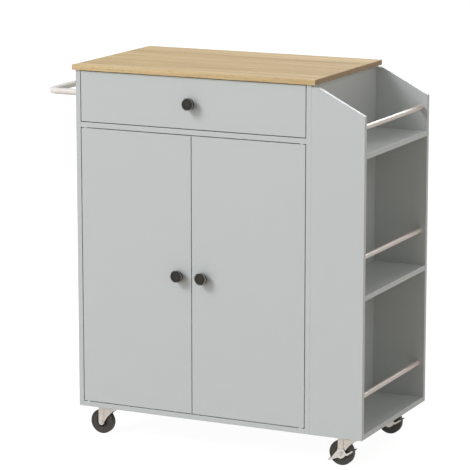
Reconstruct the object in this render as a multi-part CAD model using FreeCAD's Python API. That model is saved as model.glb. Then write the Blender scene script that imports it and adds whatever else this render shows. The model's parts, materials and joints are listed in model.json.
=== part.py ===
import FreeCAD, Part
import math
import os
from FreeCAD import Placement, Rotation, Vector

# Kitchen island on casters: a two-door cupboard under one drawer, a worktop, an open rack on the right
# and a towel bar on the left. All sizes are in millimetres.
# Pieces are drawn with x from the cabinet's left outer face, y from its front face towards the back,
# and z from the floor. save() moves them so that the origin is at the middle of the footprint.

# Cabinet
overall_height = 900.0
cabinet_width = 604.0
cabinet_depth = 396.0
board = 12.0
front_gap = 2.0
back_panel_thickness = 3.0
back_panel_inset = 7.0
groove_depth = 6.0
stretcher_height = 60.0
shelf_thickness = 12.0
shelf_setback = 30.0
shelf_play = 1.0

# Worktop
worktop_thickness = 12.0
worktop_left_overhang = 7.5
worktop_right_overhang = 11.0
worktop_front_overhang = 5.0
worktop_back_inset = 5.0
worktop_edge_round = 1.0

# Rack on the right-hand side
rack_width = 131.0
rack_top_drop = 5.0
rack_outer_drop = 64.5
rack_shoulder_width = 15.5
rack_shoulder_round = 25.0
rack_top_shelf_drop = 150.0
rack_rail_radius = 6.0
rack_rail_inset = 15.5
rack_rail_seat = 6.0
rack_top_rail_rise = 56.0
rack_rail_rise = 84.0

# Towel bar on the left-hand side
towel_bar_radius = 7.5
towel_bar_wall = 1.2
towel_bar_projection = 89.5
towel_bar_end_inset = 30.0
towel_bar_bend = 25.0
towel_bar_drop = 58.0
towel_bar_plug = 14.0
towel_screw_radius = 2.5
towel_screw_play = 0.3
towel_screw_grip = 12.0

# Drawer
drawer_front_height = 119.0
drawer_board = 12.0
drawer_side_height = 85.0
drawer_back_space = 34.0
drawer_box_rise = 9.0
drawer_bottom_thickness = 3.0
drawer_bottom_rise = 10.5
drawer_groove_depth = 5.0

# Drawer runners, with one nylon roller on each cabinet rail and one on each drawer rail
runner_gap = 12.5
runner_sheet = 1.0
runner_past_drawer = 8.0
runner_front_inset = 2.0
runner_rise = 7.0
channel_height = 24.0
channel_depth = 10.0
channel_screw_shares = (0.16, 0.55, 0.88)
roller_radius = 8.5
roller_width = 6.5
roller_lift = 1.0
roller_side_play = 0.5
roller_pin_radius = 2.0
roller_end_distance = 12.0
rivet_head_radius = 3.5
rivet_head_height = 1.0
rolling_gap = 0.3

# Doors, which turn on pins in their top and bottom edges
pivot_side_distance = 12.0
pivot_pin_radius = 2.5
pivot_pin_depth = 20.0
pivot_pin_reach = 8.0
pivot_bush_radius = 4.0
pivot_bush_floor = 1.0

# Door catch and strike plates
catch_width = 50.0
catch_depth = 14.0
catch_height = 11.0
catch_flange_width = 72.0
catch_flange_thickness = 2.0
magnet_width = 14.0
magnet_height = 7.0
magnet_depth = 5.0
strike_width = 18.0
strike_height = 11.0
strike_thickness = 1.2
strike_drop = 1.5

# Knobs
knob_radius = 15.0
knob_head = 9.0
knob_projection = 20.0
knob_stem_radius = 5.0
knob_foot_radius = 8.0
knob_foot_height = 2.5
knob_rim = 2.0
knob_rim_drop = 0.6
knob_edge_round = 1.5
knob_screw_radius = 2.0
knob_screw_grip = 11.0
door_knob_inset = 30.0

# Casters
caster_inset_left = 58.0
caster_inset_right = 49.0
caster_inset_front = 45.0
caster_inset_back = 55.0
wheel_radius = 30.0
wheel_width = 14.0
wheel_edge_round = 1.5
wheel_tyre = 4.5
wheel_web_recess = 0.8
wheel_hub_radius = 9.0
wheel_pocket_width = 4.5
wheel_pocket_depth = 3.5
wheel_side_play = 0.3
wheel_top_gap = 2.4
caster_trail = 18.0
axle_radius = 3.0
axle_head_radius = 5.0
axle_head_height = 1.8
fork_sheet = 2.0
fork_side_gap = 1.2
fork_leg_half_width = 7.0
fork_leg_drop = 8.5
fork_leg_emboss = 1.2
fork_crown_half_length = 25.0
fork_crown_radius = 19.0
fork_waist_shares = (0.32, 0.48)
fork_slot_length = 15.0
fork_slot_height = 2.0
plate_size = 42.0
plate_thickness = 2.2
plate_corner_round = 5.0
plate_hole_distance = 32.0
race_radius = 19.0
race_neck_radius = 13.0
race_height = 5.8
race_gap = 0.3
kingpin_radius = 4.0
kingpin_head_radius = 6.5
kingpin_head_height = 2.0

# Brake lever on the two right-hand casters. The outline is given round the axle, in shares of the
# lever's reach, from the foot's top edge downwards and round to the release arm.
brake_overreach = 2.0
brake_sheet = 1.5
brake_side_gap = 0.4
brake_bar_radius = 1.8
brake_bar_gap = 2.2
brake_bar_angle = 211.0
brake_outline_shares = (
    (-0.22, 0.32), (-0.24, 0.20), (-0.57, -0.21), (-0.66, -0.36), (-0.96, -0.52), (-0.90, -0.64),
    (-0.52, -0.47), (-0.21, -0.34), (0.04, -0.40), (0.27, -0.28), (0.43, -0.12), (0.58, -0.10),
    (0.81, 0.07), (1.00, 0.22), (0.93, 0.29), (0.66, 0.10), (0.47, 0.02), (0.33, 0.22), (0.23, 0.36),
)

# Cam fasteners, dowels, screws and shelf pins
cam_radius = 6.0
cam_height = 9.5
cam_recess = 0.3
cam_edge_distance = 24.0
cam_slot_length = 7.0
cam_slot_width = 1.2
cam_slot_depth = 1.5
cam_bolt_radius = 3.0
cam_thread_radius = 2.5
cam_thread_length = 9.0
dowel_radius = 3.0
dowel_in_face = 8.0
dowel_in_edge = 14.0
wood_screw_radius = 1.8
wood_screw_length = 9.0
wood_screw_head_radius = 3.6
wood_screw_head_height = 1.6
machine_head_radius_share = 2.0
machine_head_height_share = 1.2
shelf_pin_radius = 2.5
shelf_pin_seat = 8.0
shelf_pin_reach = 8.0
shelf_hole_pitch = 32.0
shelf_hole_rows = 5

# Where fasteners and pins sit, as shares of the board that carries them
cam_depth_shares = (0.28, 0.73)
dowel_depth_shares = (0.38, 0.63)
rack_cam_depth_shares = (0.34, 0.66)
rack_dowel_depth_shares = (0.43, 0.57)
rack_cam_width_share = 0.3
rack_dowel_width_share = 0.62
shelf_pin_depth_shares = (0.15, 0.87)
cupboard_shelf_share = 0.48
drawer_cam_shares = (0.4, 0.8)
drawer_screw_shares = (0.35, 0.75)

# Clearances
running_fit = 0.05
hole_fit = 0.05
hole_end_gap = 0.5
groove_fit = 0.1
seat_gap = 0.3
overrun = 1.0

# Levels and faces worked out from the sizes above
kingpin_depth = kingpin_head_height + race_gap + fork_sheet + race_gap + race_height + plate_thickness
caster_height = 2 * wheel_radius + wheel_top_gap + kingpin_depth
brake_reach = wheel_radius + brake_overreach
brake_bar_distance = wheel_radius + brake_bar_radius + brake_bar_gap
worktop_underside = overall_height - worktop_thickness
inner_left = board
inner_right = cabinet_width - board
inner_width = inner_right - inner_left
middle_line = cabinet_width / 2
rack_outer = cabinet_width + rack_width
bottom_board_top = caster_height + board
drawer_front_top = worktop_underside - front_gap
drawer_front_bottom = drawer_front_top - drawer_front_height
divider_top = drawer_front_bottom - front_gap
divider_bottom = divider_top - board
door_top = divider_bottom - front_gap
door_bottom = bottom_board_top + front_gap
door_width = (inner_width - 3 * front_gap) / 2
back_panel_front = cabinet_depth - back_panel_inset - back_panel_thickness
rack_front = board
rack_back = cabinet_depth - board
rack_rail_x = rack_outer - rack_rail_inset
rack_top_shelf_top = worktop_underside - rack_top_shelf_drop
rack_middle_shelf_top = (bottom_board_top + rack_top_shelf_top) / 2
rack_top_shelf_bottom = rack_top_shelf_top - board
rack_middle_shelf_bottom = rack_middle_shelf_top - board
towel_bar_level = worktop_underside - towel_bar_drop
shelf_bottom = bottom_board_top + cupboard_shelf_share * (divider_bottom - bottom_board_top)

X = Vector(1, 0, 0)
Y = Vector(0, 1, 0)
Z = Vector(0, 0, 1)

solids = {}
cuts = {}


def box(low, high):
    """A box between two corners."""
    size = Vector(*high) - Vector(*low)
    return Part.makeBox(size.x, size.y, size.z, Vector(*low))


def rod(start, direction, radius, length):
    """A round rod from start along direction."""
    return Part.makeCylinder(radius, length, start, direction)


def prism(points, direction):
    """A flat outline of straight edges, pushed along direction."""
    outline = Part.makePolygon(points + [points[0]])
    return Part.Face(outline).extrude(direction)


def turned(profile, origin, axis):
    """A closed outline of edges, turned once round an axis."""
    return Part.Face(Part.Wire(profile)).revolve(origin, axis, 360)


def moved(shape, origin, x_axis, z_axis):
    """A copy of a shape drawn about the origin, set at a place with its own x and z directions."""
    copy = shape.copy()
    copy.Placement = Placement(origin, Rotation(x_axis, z_axis.cross(x_axis), z_axis, "XYZ"))
    return copy


def mirrored(shape):
    """The same piece on the other side of the cupboard's middle."""
    return shape.mirror(Vector(middle_line, 0, 0), X)


def fused(shapes):
    """Shapes joined into one solid."""
    return shapes[0].multiFuse(shapes[1:]).removeSplitter()


def add(node, *shapes):
    """Puts solids in a node."""
    solids.setdefault(node, []).extend(shapes)


def cut(node, *tools):
    """Notes holes and grooves to be cut in a node."""
    cuts.setdefault(node, []).extend(tools)


def between(low, high, share):
    """The point at a share of the way from low to high."""
    return low + share * (high - low)


# Fasteners
def cam_fastener(mouth, inward, towards, carrier, receiver, node="cam_fasteners"):
    """A cam in the carrier's face and its bolt into the receiver, with the holes for both.

    mouth is the cam's centre on the face, inward goes into the board and towards is along the bolt.
    """
    cam = rod(Z * cam_recess, Z, cam_radius, cam_height - cam_recess)
    shank_hole = rod(Z * (board / 2), X, cam_bolt_radius + hole_fit, cam_edge_distance + overrun)
    slot = Part.makeBox(cam_slot_length, cam_slot_width, cam_slot_depth)
    slot.translate(Vector(-cam_slot_length / 2, -cam_slot_width / 2, cam_recess))
    cross_slot = slot.copy()
    cross_slot.rotate(Vector(), Z, 90)
    cam = cam.cut([shank_hole, slot, cross_slot])
    shank = rod(Z * (board / 2), X, cam_bolt_radius, cam_edge_distance)
    seam = Vector(cam_edge_distance, 0, board / 2)
    thread = rod(seam, X, cam_thread_radius, cam_thread_length)
    bolt = fused([shank, thread])
    pocket = rod(-Z * overrun, Z, cam_radius + hole_fit, cam_height + hole_fit + overrun)
    thread_start = seam - X * overrun
    thread_hole_length = overrun + cam_thread_length + hole_end_gap
    thread_hole = rod(thread_start, X, cam_thread_radius + hole_fit, thread_hole_length)
    add(node, moved(cam, mouth, towards, inward), moved(bolt, mouth, towards, inward))
    cut(carrier, moved(pocket, mouth, towards, inward), moved(shank_hole, mouth, towards, inward))
    cut(receiver, moved(thread_hole, mouth, towards, inward))


def dowel(seam, towards, carrier, receiver):
    """A wooden dowel across a seam: its longer end in the carrier's edge, the other in the receiver."""
    start = seam - towards * dowel_in_edge
    add("dowels", rod(start, towards, dowel_radius, dowel_in_edge + dowel_in_face))
    hole_radius = dowel_radius + hole_fit
    edge_depth = dowel_in_edge + hole_end_gap
    face_depth = dowel_in_face + hole_end_gap
    cut(carrier, rod(seam - towards * edge_depth, towards, hole_radius, edge_depth + overrun))
    cut(receiver, rod(seam - towards * overrun, towards, hole_radius, face_depth + overrun))


def wood_screw(surface, inward, carrier, node="wood_screws"):
    """A pan-head screw seated on a surface, with its hole in the board behind."""
    head = rod(surface, -inward, wood_screw_head_radius, wood_screw_head_height)
    shank = rod(surface, inward, wood_screw_radius, wood_screw_length)
    add(node, fused([head, shank]))
    cut(carrier, rod(surface, inward, wood_screw_radius + hole_fit, wood_screw_length + hole_end_gap))


def machine_screw(surface, inward, radius, length):
    """A pan-head machine screw seated on a surface."""
    head_radius = radius * machine_head_radius_share
    head = rod(surface, -inward, head_radius, radius * machine_head_height_share)
    shank = rod(surface, inward, radius, length)
    return fused([head, shank])


# Cabinet boards
def side_panels():
    for node, left in (("left_side_panel", 0), ("right_side_panel", inner_right)):
        right = left + board
        add(node, box((left, 0, caster_height), (right, cabinet_depth, worktop_underside)))
    groove_low = (inner_left - groove_depth, back_panel_front - groove_fit, caster_height - overrun)
    groove_back = back_panel_front + back_panel_thickness + groove_fit
    groove_high = (inner_left + overrun, groove_back, worktop_underside + overrun)
    groove = box(groove_low, groove_high)
    cut("left_side_panel", groove)
    cut("right_side_panel", mirrored(groove))


def worktop():
    low = (-worktop_left_overhang, -worktop_front_overhang, worktop_underside)
    high = (cabinet_width + worktop_right_overhang, cabinet_depth - worktop_back_inset, overall_height)
    top = box(low, high)
    upper_edges = [edge for edge in top.Edges if edge.BoundBox.ZMin > worktop_underside + worktop_edge_round]
    add("worktop", top.makeFillet(worktop_edge_round, upper_edges))
    for side in ("left_side_panel", "right_side_panel"):
        left_side = side == "left_side_panel"
        face_x = inner_left if left_side else inner_right
        inward = -X if left_side else X
        for share in cam_depth_shares:
            mouth = Vector(face_x, share * cabinet_depth, worktop_underside - cam_edge_distance)
            cam_fastener(mouth, inward, Z, side, "worktop")
        for share in dowel_depth_shares:
            seam = Vector(face_x, share * cabinet_depth, worktop_underside) + inward * (board / 2)
            dowel(seam, Z, side, "worktop")


def across_board(node, low_z, board_back):
    """A level board between the side panels, with cams in its underside."""
    add(node, box((inner_left, 0, low_z), (inner_right, board_back, low_z + board)))
    level = low_z + board / 2
    for side, face_x, towards in (("left_side_panel", inner_left, -X), ("right_side_panel", inner_right, X)):
        for share in cam_depth_shares:
            mouth = Vector(face_x, share * board_back, low_z) - towards * cam_edge_distance
            cam_fastener(mouth, Z, towards, node, side)
        for share in dowel_depth_shares:
            dowel(Vector(face_x, share * board_back, level), towards, node, side)


def back_stretcher():
    front = back_panel_front - board
    bottom = worktop_underside - stretcher_height
    high = (inner_right, back_panel_front, worktop_underside)
    add("back_stretcher", box((inner_left, front, bottom), high))
    level = bottom + stretcher_height / 2
    for side, face_x, towards in (("left_side_panel", inner_left, -X), ("right_side_panel", inner_right, X)):
        mouth = Vector(face_x, front, level) - towards * cam_edge_distance
        cam_fastener(mouth, Y, towards, "back_stretcher", side)


def back_panel():
    reach = groove_depth - groove_fit
    low = (inner_left - reach, back_panel_front, caster_height)
    high = (inner_right + reach, back_panel_front + back_panel_thickness, worktop_underside)
    add("back_panel", box(low, high))


def cupboard_shelf():
    low = (inner_left + shelf_play, shelf_setback, shelf_bottom)
    high = (inner_right - shelf_play, back_panel_front - shelf_play, shelf_bottom + shelf_thickness)
    add("cupboard_shelf", box(low, high))
    pin_level = shelf_bottom - shelf_pin_radius
    for share in shelf_pin_depth_shares:
        y = share * cabinet_depth
        pin_start = Vector(inner_left - shelf_pin_seat, y, pin_level)
        pin = rod(pin_start, X, shelf_pin_radius, shelf_pin_seat + shelf_pin_reach)
        add("shelf_pins", pin, mirrored(pin))
        for row in range(shelf_hole_rows):
            level = pin_level + (row - shelf_hole_rows // 2) * shelf_hole_pitch
            hole_depth = shelf_pin_seat + hole_end_gap
            start = Vector(inner_left - hole_depth, y, level)
            hole = rod(start, X, shelf_pin_radius + hole_fit, hole_depth + overrun)
            cut("left_side_panel", hole)
            cut("right_side_panel", mirrored(hole))


# Rack
def rack_panel_outline(y):
    """The rack panel's outline: level at the cabinet, a rounded shoulder, then a straight slope."""
    top = worktop_underside - rack_top_drop
    outer_top = worktop_underside - rack_outer_drop
    corner = Vector(cabinet_width + rack_shoulder_width, y, top)
    end = Vector(rack_outer, y, outer_top)
    slope = (end - corner).normalize()
    fall = math.atan2(corner.z - end.z, end.x - corner.x)
    tangent = rack_shoulder_round * math.tan(fall / 2)
    arc_start = corner - X * tangent
    arc_end = corner + slope * tangent
    centre = arc_start - Z * rack_shoulder_round
    half_turn = Vector(math.sin(fall / 2), 0, math.cos(fall / 2))
    arc_middle = centre + half_turn * rack_shoulder_round
    foot_left = Vector(cabinet_width, y, caster_height)
    foot_right = Vector(rack_outer, y, caster_height)
    top_left = Vector(cabinet_width, y, top)
    edges = [
        Part.LineSegment(foot_left, foot_right),
        Part.LineSegment(foot_right, end),
        Part.LineSegment(end, arc_end),
        Part.Arc(arc_end, arc_middle, arc_start),
        Part.LineSegment(arc_start, top_left),
        Part.LineSegment(top_left, foot_left),
    ]
    return Part.Wire([edge.toShape() for edge in edges])


def rack_panels():
    for node, y in (("rack_front_panel", 0), ("rack_rear_panel", rack_back)):
        add(node, Part.Face(rack_panel_outline(y)).extrude(Y * board))


def rack_shelf(node, low_z):
    """A shelf between the rack's panels, fixed to them and to the cabinet's side, cams underneath."""
    add(node, box((cabinet_width, rack_front, low_z), (rack_outer, rack_back, low_z + board)))
    level = low_z + board / 2
    cam_x = between(cabinet_width, rack_outer, rack_cam_width_share)
    dowel_x = between(cabinet_width, rack_outer, rack_dowel_width_share)
    for panel, face_y, towards in (("rack_front_panel", rack_front, -Y), ("rack_rear_panel", rack_back, Y)):
        mouth = Vector(cam_x, face_y, low_z) - towards * cam_edge_distance
        cam_fastener(mouth, Z, towards, node, panel)
        dowel(Vector(dowel_x, face_y, level), towards, node, panel)
    for share in rack_cam_depth_shares:
        mouth = Vector(cabinet_width + cam_edge_distance, between(rack_front, rack_back, share), low_z)
        cam_fastener(mouth, Z, -X, node, "right_side_panel")
    for share in rack_dowel_depth_shares:
        seam = Vector(cabinet_width, between(rack_front, rack_back, share), level)
        dowel(seam, -X, node, "right_side_panel")


def rack_rail(node, level):
    """A round rail whose ends sit in blind holes in the rack's panels."""
    start = Vector(rack_rail_x, rack_front - rack_rail_seat, level)
    length = rack_back - rack_front + 2 * rack_rail_seat
    add(node, rod(start, Y, rack_rail_radius, length))
    hole_radius = rack_rail_radius + hole_fit
    front_hole_start = start - Y * hole_end_gap
    depth = rack_rail_seat + hole_end_gap
    cut("rack_front_panel", rod(front_hole_start, Y, hole_radius, depth + overrun))
    rear_hole_start = Vector(rack_rail_x, rack_back - overrun, level)
    cut("rack_rear_panel", rod(rear_hole_start, Y, hole_radius, depth + overrun))


# Towel bar
def towel_bar_path(end_x):
    """The bar's centre line, from end_x at the front, round both bends and back to end_x."""
    front_y = towel_bar_end_inset
    back_y = cabinet_depth - towel_bar_end_inset
    out_x = -towel_bar_projection
    bend = towel_bar_bend
    diagonal = bend * math.sqrt(0.5)
    level = towel_bar_level
    front_centre = Vector(out_x + bend, front_y + bend, level)
    back_centre = Vector(out_x + bend, back_y - bend, level)
    points = [
        Vector(end_x, front_y, level),
        Vector(out_x + bend, front_y, level),
        front_centre + Vector(-diagonal, -diagonal, 0),
        Vector(out_x, front_y + bend, level),
        Vector(out_x, back_y - bend, level),
        back_centre + Vector(-diagonal, diagonal, 0),
        Vector(out_x + bend, back_y, level),
        Vector(end_x, back_y, level),
    ]
    edges = [
        Part.LineSegment(points[0], points[1]),
        Part.Arc(points[1], points[2], points[3]),
        Part.LineSegment(points[3], points[4]),
        Part.Arc(points[4], points[5], points[6]),
        Part.LineSegment(points[6], points[7]),
    ]
    return Part.Wire([edge.toShape() for edge in edges])


def towel_bar_sweep(end_x, radius):
    path = towel_bar_path(end_x)
    start = Vector(end_x, towel_bar_end_inset, towel_bar_level)
    circle = Part.Wire([Part.makeCircle(radius, start, X)])
    return path.makePipeShell([circle], True, False)


def towel_bar():
    """A bent tube with a threaded plug in each end, screwed on from inside the cabinet."""
    tube = towel_bar_sweep(0, towel_bar_radius)
    hollow = towel_bar_sweep(-towel_bar_plug, towel_bar_radius - towel_bar_wall)
    bores = []
    for y in (towel_bar_end_inset, cabinet_depth - towel_bar_end_inset):
        bore_start = Vector(overrun, y, towel_bar_level)
        bore_length = towel_bar_plug + 2 * overrun
        bores.append(rod(bore_start, -X, towel_screw_radius + hole_fit, bore_length))
        hole_start = Vector(-overrun, y, towel_bar_level)
        hole_radius = towel_screw_radius + towel_screw_play
        cut("left_side_panel", rod(hole_start, X, hole_radius, board + 2 * overrun))
        head_seat = Vector(inner_left, y, towel_bar_level)
        screw = machine_screw(head_seat, -X, towel_screw_radius, board + towel_screw_grip)
        add("towel_bar_screws", screw)
    add("towel_bar", tube.cut([hollow] + bores))


# Knobs
def knob(place):
    """A round knob on a short stem, with a slightly sunk face inside its rim."""
    face = -knob_projection
    back = face + knob_head
    foot = -knob_foot_height
    rim_inner = knob_radius - knob_rim
    bend = knob_edge_round * (1 - math.sqrt(0.5))
    outline = [
        Vector(0, 0, 0),
        Vector(knob_foot_radius, 0, 0),
        Vector(knob_stem_radius, foot, 0),
        Vector(knob_stem_radius, back, 0),
        Vector(knob_radius, back, 0),
        Vector(knob_radius, face + knob_edge_round, 0),
        Vector(knob_radius - bend, face + bend, 0),
        Vector(knob_radius - knob_edge_round, face, 0),
        Vector(rim_inner, face, 0),
        Vector(rim_inner, face + knob_rim_drop, 0),
        Vector(0, face + knob_rim_drop, 0),
    ]
    edges = [Part.LineSegment(outline[i], outline[i + 1]).toShape() for i in range(5)]
    edges.append(Part.Arc(outline[5], outline[6], outline[7]).toShape())
    edges += [Part.LineSegment(outline[i], outline[i + 1]).toShape() for i in range(7, 10)]
    edges.append(Part.LineSegment(outline[10], outline[0]).toShape())
    head = turned(edges, Vector(), Y)
    hole_length = overrun + knob_screw_grip + hole_end_gap
    hole = rod(Y * overrun, -Y, knob_screw_radius + hole_fit, hole_length)
    return moved(head.cut(hole), place, X, Z)


def fit_knob(front_node, knob_node, screw_node, x, z):
    """A knob on a front, its screw from behind and the hole for it."""
    place = Vector(x, 0, z)
    add(knob_node, knob(place))
    screw_length = board + knob_screw_grip
    add(screw_node, machine_screw(place + Y * board, -Y, knob_screw_radius, screw_length))
    hole_radius = knob_screw_radius + hole_fit
    cut(front_node, rod(place - Y * overrun, Y, hole_radius, board + 2 * overrun))


# Doors
def door(side):
    """A door with its knob, pivot pins and strike plate; the bushes go in the boards above and below."""
    left_side = side == "left"
    outward = -1 if left_side else 1
    hinge_edge = inner_left + front_gap if left_side else inner_right - front_gap
    free_edge = hinge_edge - outward * door_width
    node = side + "_door"
    fittings = side + "_door_fittings"
    low_x = min(hinge_edge, free_edge)
    add(node, box((low_x, 0, door_bottom), (low_x + door_width, board, door_top)))
    knob_x = free_edge + outward * door_knob_inset
    fit_knob(node, side + "_door_knob", fittings, knob_x, (door_bottom + door_top) / 2)
    pivot_x = inner_left + pivot_side_distance if left_side else inner_right - pivot_side_distance
    pin_length = pivot_pin_depth + front_gap + pivot_pin_reach
    bush_height = pivot_pin_reach + pivot_bush_floor + seat_gap
    for edge_z, up, receiver in ((door_top, Z, "divider_board"), (door_bottom, -Z, "bottom_board")):
        edge_point = Vector(pivot_x, board / 2, edge_z)
        pin_start = edge_point - up * pivot_pin_depth
        add(fittings, rod(pin_start, up, pivot_pin_radius, pin_length))
        hole_depth = pivot_pin_depth + hole_end_gap
        hole_start = edge_point - up * hole_depth
        cut(node, rod(hole_start, up, pivot_pin_radius + hole_fit, hole_depth + overrun))
        bush_start = edge_point + up * front_gap
        bush = rod(bush_start, up, pivot_bush_radius, bush_height)
        bore_depth = pivot_pin_reach + seat_gap
        bore = rod(bush_start - up * overrun, up, pivot_pin_radius + running_fit, bore_depth + overrun)
        add("pivot_bushes", bush.cut(bore))
        pocket_start = bush_start - up * overrun
        cut(receiver, rod(pocket_start, up, pivot_bush_radius + hole_fit, bush_height + hole_fit + overrun))
    strike_centre = middle_line + outward * catch_width / 4
    strike_low = (strike_centre - strike_width / 2, board, door_top - strike_drop - strike_height)
    strike_high = (strike_centre + strike_width / 2, board + strike_thickness, door_top - strike_drop)
    add(fittings, box(strike_low, strike_high))


def door_catch():
    """A double magnetic catch under the divider, one magnet for each door."""
    front = board + strike_thickness + seat_gap
    bottom = divider_bottom - catch_height
    body = box(
        (middle_line - catch_width / 2, front + seat_gap, bottom),
        (middle_line + catch_width / 2, front + catch_depth, divider_bottom),
    )
    flange = box(
        (middle_line - catch_flange_width / 2, front + seat_gap, divider_bottom - catch_flange_thickness),
        (middle_line + catch_flange_width / 2, front + catch_depth, divider_bottom),
    )
    body = fused([body, flange])
    magnets = []
    sockets = []
    middle_z = bottom + catch_height / 2
    for outward in (-1, 1):
        centre_x = middle_line + outward * catch_width / 4
        low_x = centre_x - magnet_width / 2
        high_x = centre_x + magnet_width / 2
        low_z = middle_z - magnet_height / 2
        high_z = middle_z + magnet_height / 2
        magnets.append(box((low_x, front, low_z), (high_x, front + magnet_depth, high_z)))
        sockets.append(box(
            (low_x - hole_fit, front, low_z - hole_fit),
            (high_x + hole_fit, front + magnet_depth + hole_fit, high_z + hole_fit),
        ))
        ear_x = middle_line + outward * (catch_width + catch_flange_width) / 4
        seat = Vector(ear_x, front + catch_depth / 2, divider_bottom - catch_flange_thickness)
        wood_screw(seat, Z, "divider_board")
        hole_radius = wood_screw_radius + hole_fit
        sockets.append(rod(seat - Z * overrun, Z, hole_radius, catch_flange_thickness + 2 * overrun))
    add("door_catch", body.cut(sockets), *magnets)


# Drawer
drawer_left = inner_left + runner_gap
drawer_right = inner_right - runner_gap
drawer_box_bottom = drawer_front_bottom + drawer_box_rise
drawer_box_top = drawer_box_bottom + drawer_side_height
drawer_box_back = back_panel_front - drawer_back_space
drawer_bottom_level = drawer_box_bottom + drawer_bottom_rise
rail_bottom = divider_top + runner_rise
cabinet_roller_level = rail_bottom + runner_sheet + roller_lift + roller_radius
drawer_roller_level = rail_bottom + runner_sheet + rolling_gap + roller_radius
ledge_bottom = cabinet_roller_level + roller_radius + rolling_gap
runner_front = board + runner_front_inset
runner_back = drawer_box_back + runner_past_drawer
cabinet_roller_y = runner_front + roller_end_distance
drawer_roller_y = drawer_box_back - roller_end_distance


def drawer_box():
    front_low = (inner_left + front_gap, 0, drawer_front_bottom)
    front_high = (inner_right - front_gap, board, drawer_front_top)
    add("drawer_front", box(front_low, front_high))
    side = box(
        (drawer_left, board, drawer_box_bottom),
        (drawer_left + drawer_board, drawer_box_back, drawer_box_top),
    )
    add("drawer_left_side", side)
    add("drawer_right_side", mirrored(side))
    inside_left = drawer_left + drawer_board
    inside_right = drawer_right - drawer_board
    bottom_top = drawer_bottom_level + drawer_bottom_thickness
    back_low = (inside_left, drawer_box_back - drawer_board, bottom_top)
    add("drawer_back", box(back_low, (inside_right, drawer_box_back, drawer_box_top)))
    reach = drawer_groove_depth - groove_fit
    bottom_low = (inside_left - reach, board - reach, drawer_bottom_level)
    bottom_high = (inside_right + reach, drawer_box_back, bottom_top)
    add("drawer_bottom", box(bottom_low, bottom_high))
    groove_left = inside_left - drawer_groove_depth
    groove_right = inside_right + drawer_groove_depth
    groove_front = board - drawer_groove_depth
    groove_low = (groove_left, groove_front, drawer_bottom_level - groove_fit)
    groove_high = (groove_right, drawer_box_back + overrun, bottom_top + groove_fit)
    groove = box(groove_low, groove_high)
    cut("drawer_front", groove)
    cut("drawer_left_side", groove)
    cut("drawer_right_side", groove)
    for share in drawer_cam_shares:
        level = between(drawer_box_bottom, drawer_box_top, share)
        for side_node, face_x, inward in (
            ("drawer_left_side", inside_left, -X),
            ("drawer_right_side", inside_right, X),
        ):
            mouth = Vector(face_x, board + cam_edge_distance, level)
            cam_fastener(mouth, inward, -Y, side_node, "drawer_front", "drawer_fixings")
    for share in drawer_screw_shares:
        level = between(bottom_top, drawer_box_top, share)
        for side_node, face_x, inward in (
            ("drawer_left_side", drawer_left, X),
            ("drawer_right_side", drawer_right, -X),
        ):
            place = Vector(face_x, drawer_box_back - drawer_board / 2, level)
            through = machine_screw(place, inward, wood_screw_radius, drawer_board + wood_screw_length)
            add("drawer_fixings", through)
            hole_radius = wood_screw_radius + hole_fit
            hole_length = drawer_board + wood_screw_length + hole_end_gap
            hole = rod(place, inward, hole_radius, hole_length)
            cut(side_node, hole)
            cut("drawer_back", hole)
    knob_level = (drawer_front_bottom + drawer_front_top) / 2
    fit_knob("drawer_front", "drawer_knob", "drawer_fixings", middle_line, knob_level)


def roller(y, level, start_x):
    """A nylon roller, its axis along x."""
    start = Vector(start_x, y, level)
    wheel = rod(start, X, roller_radius, roller_width)
    bore = rod(start - X * overrun, X, roller_pin_radius + running_fit, roller_width + 2 * overrun)
    return wheel.cut(bore)


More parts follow.
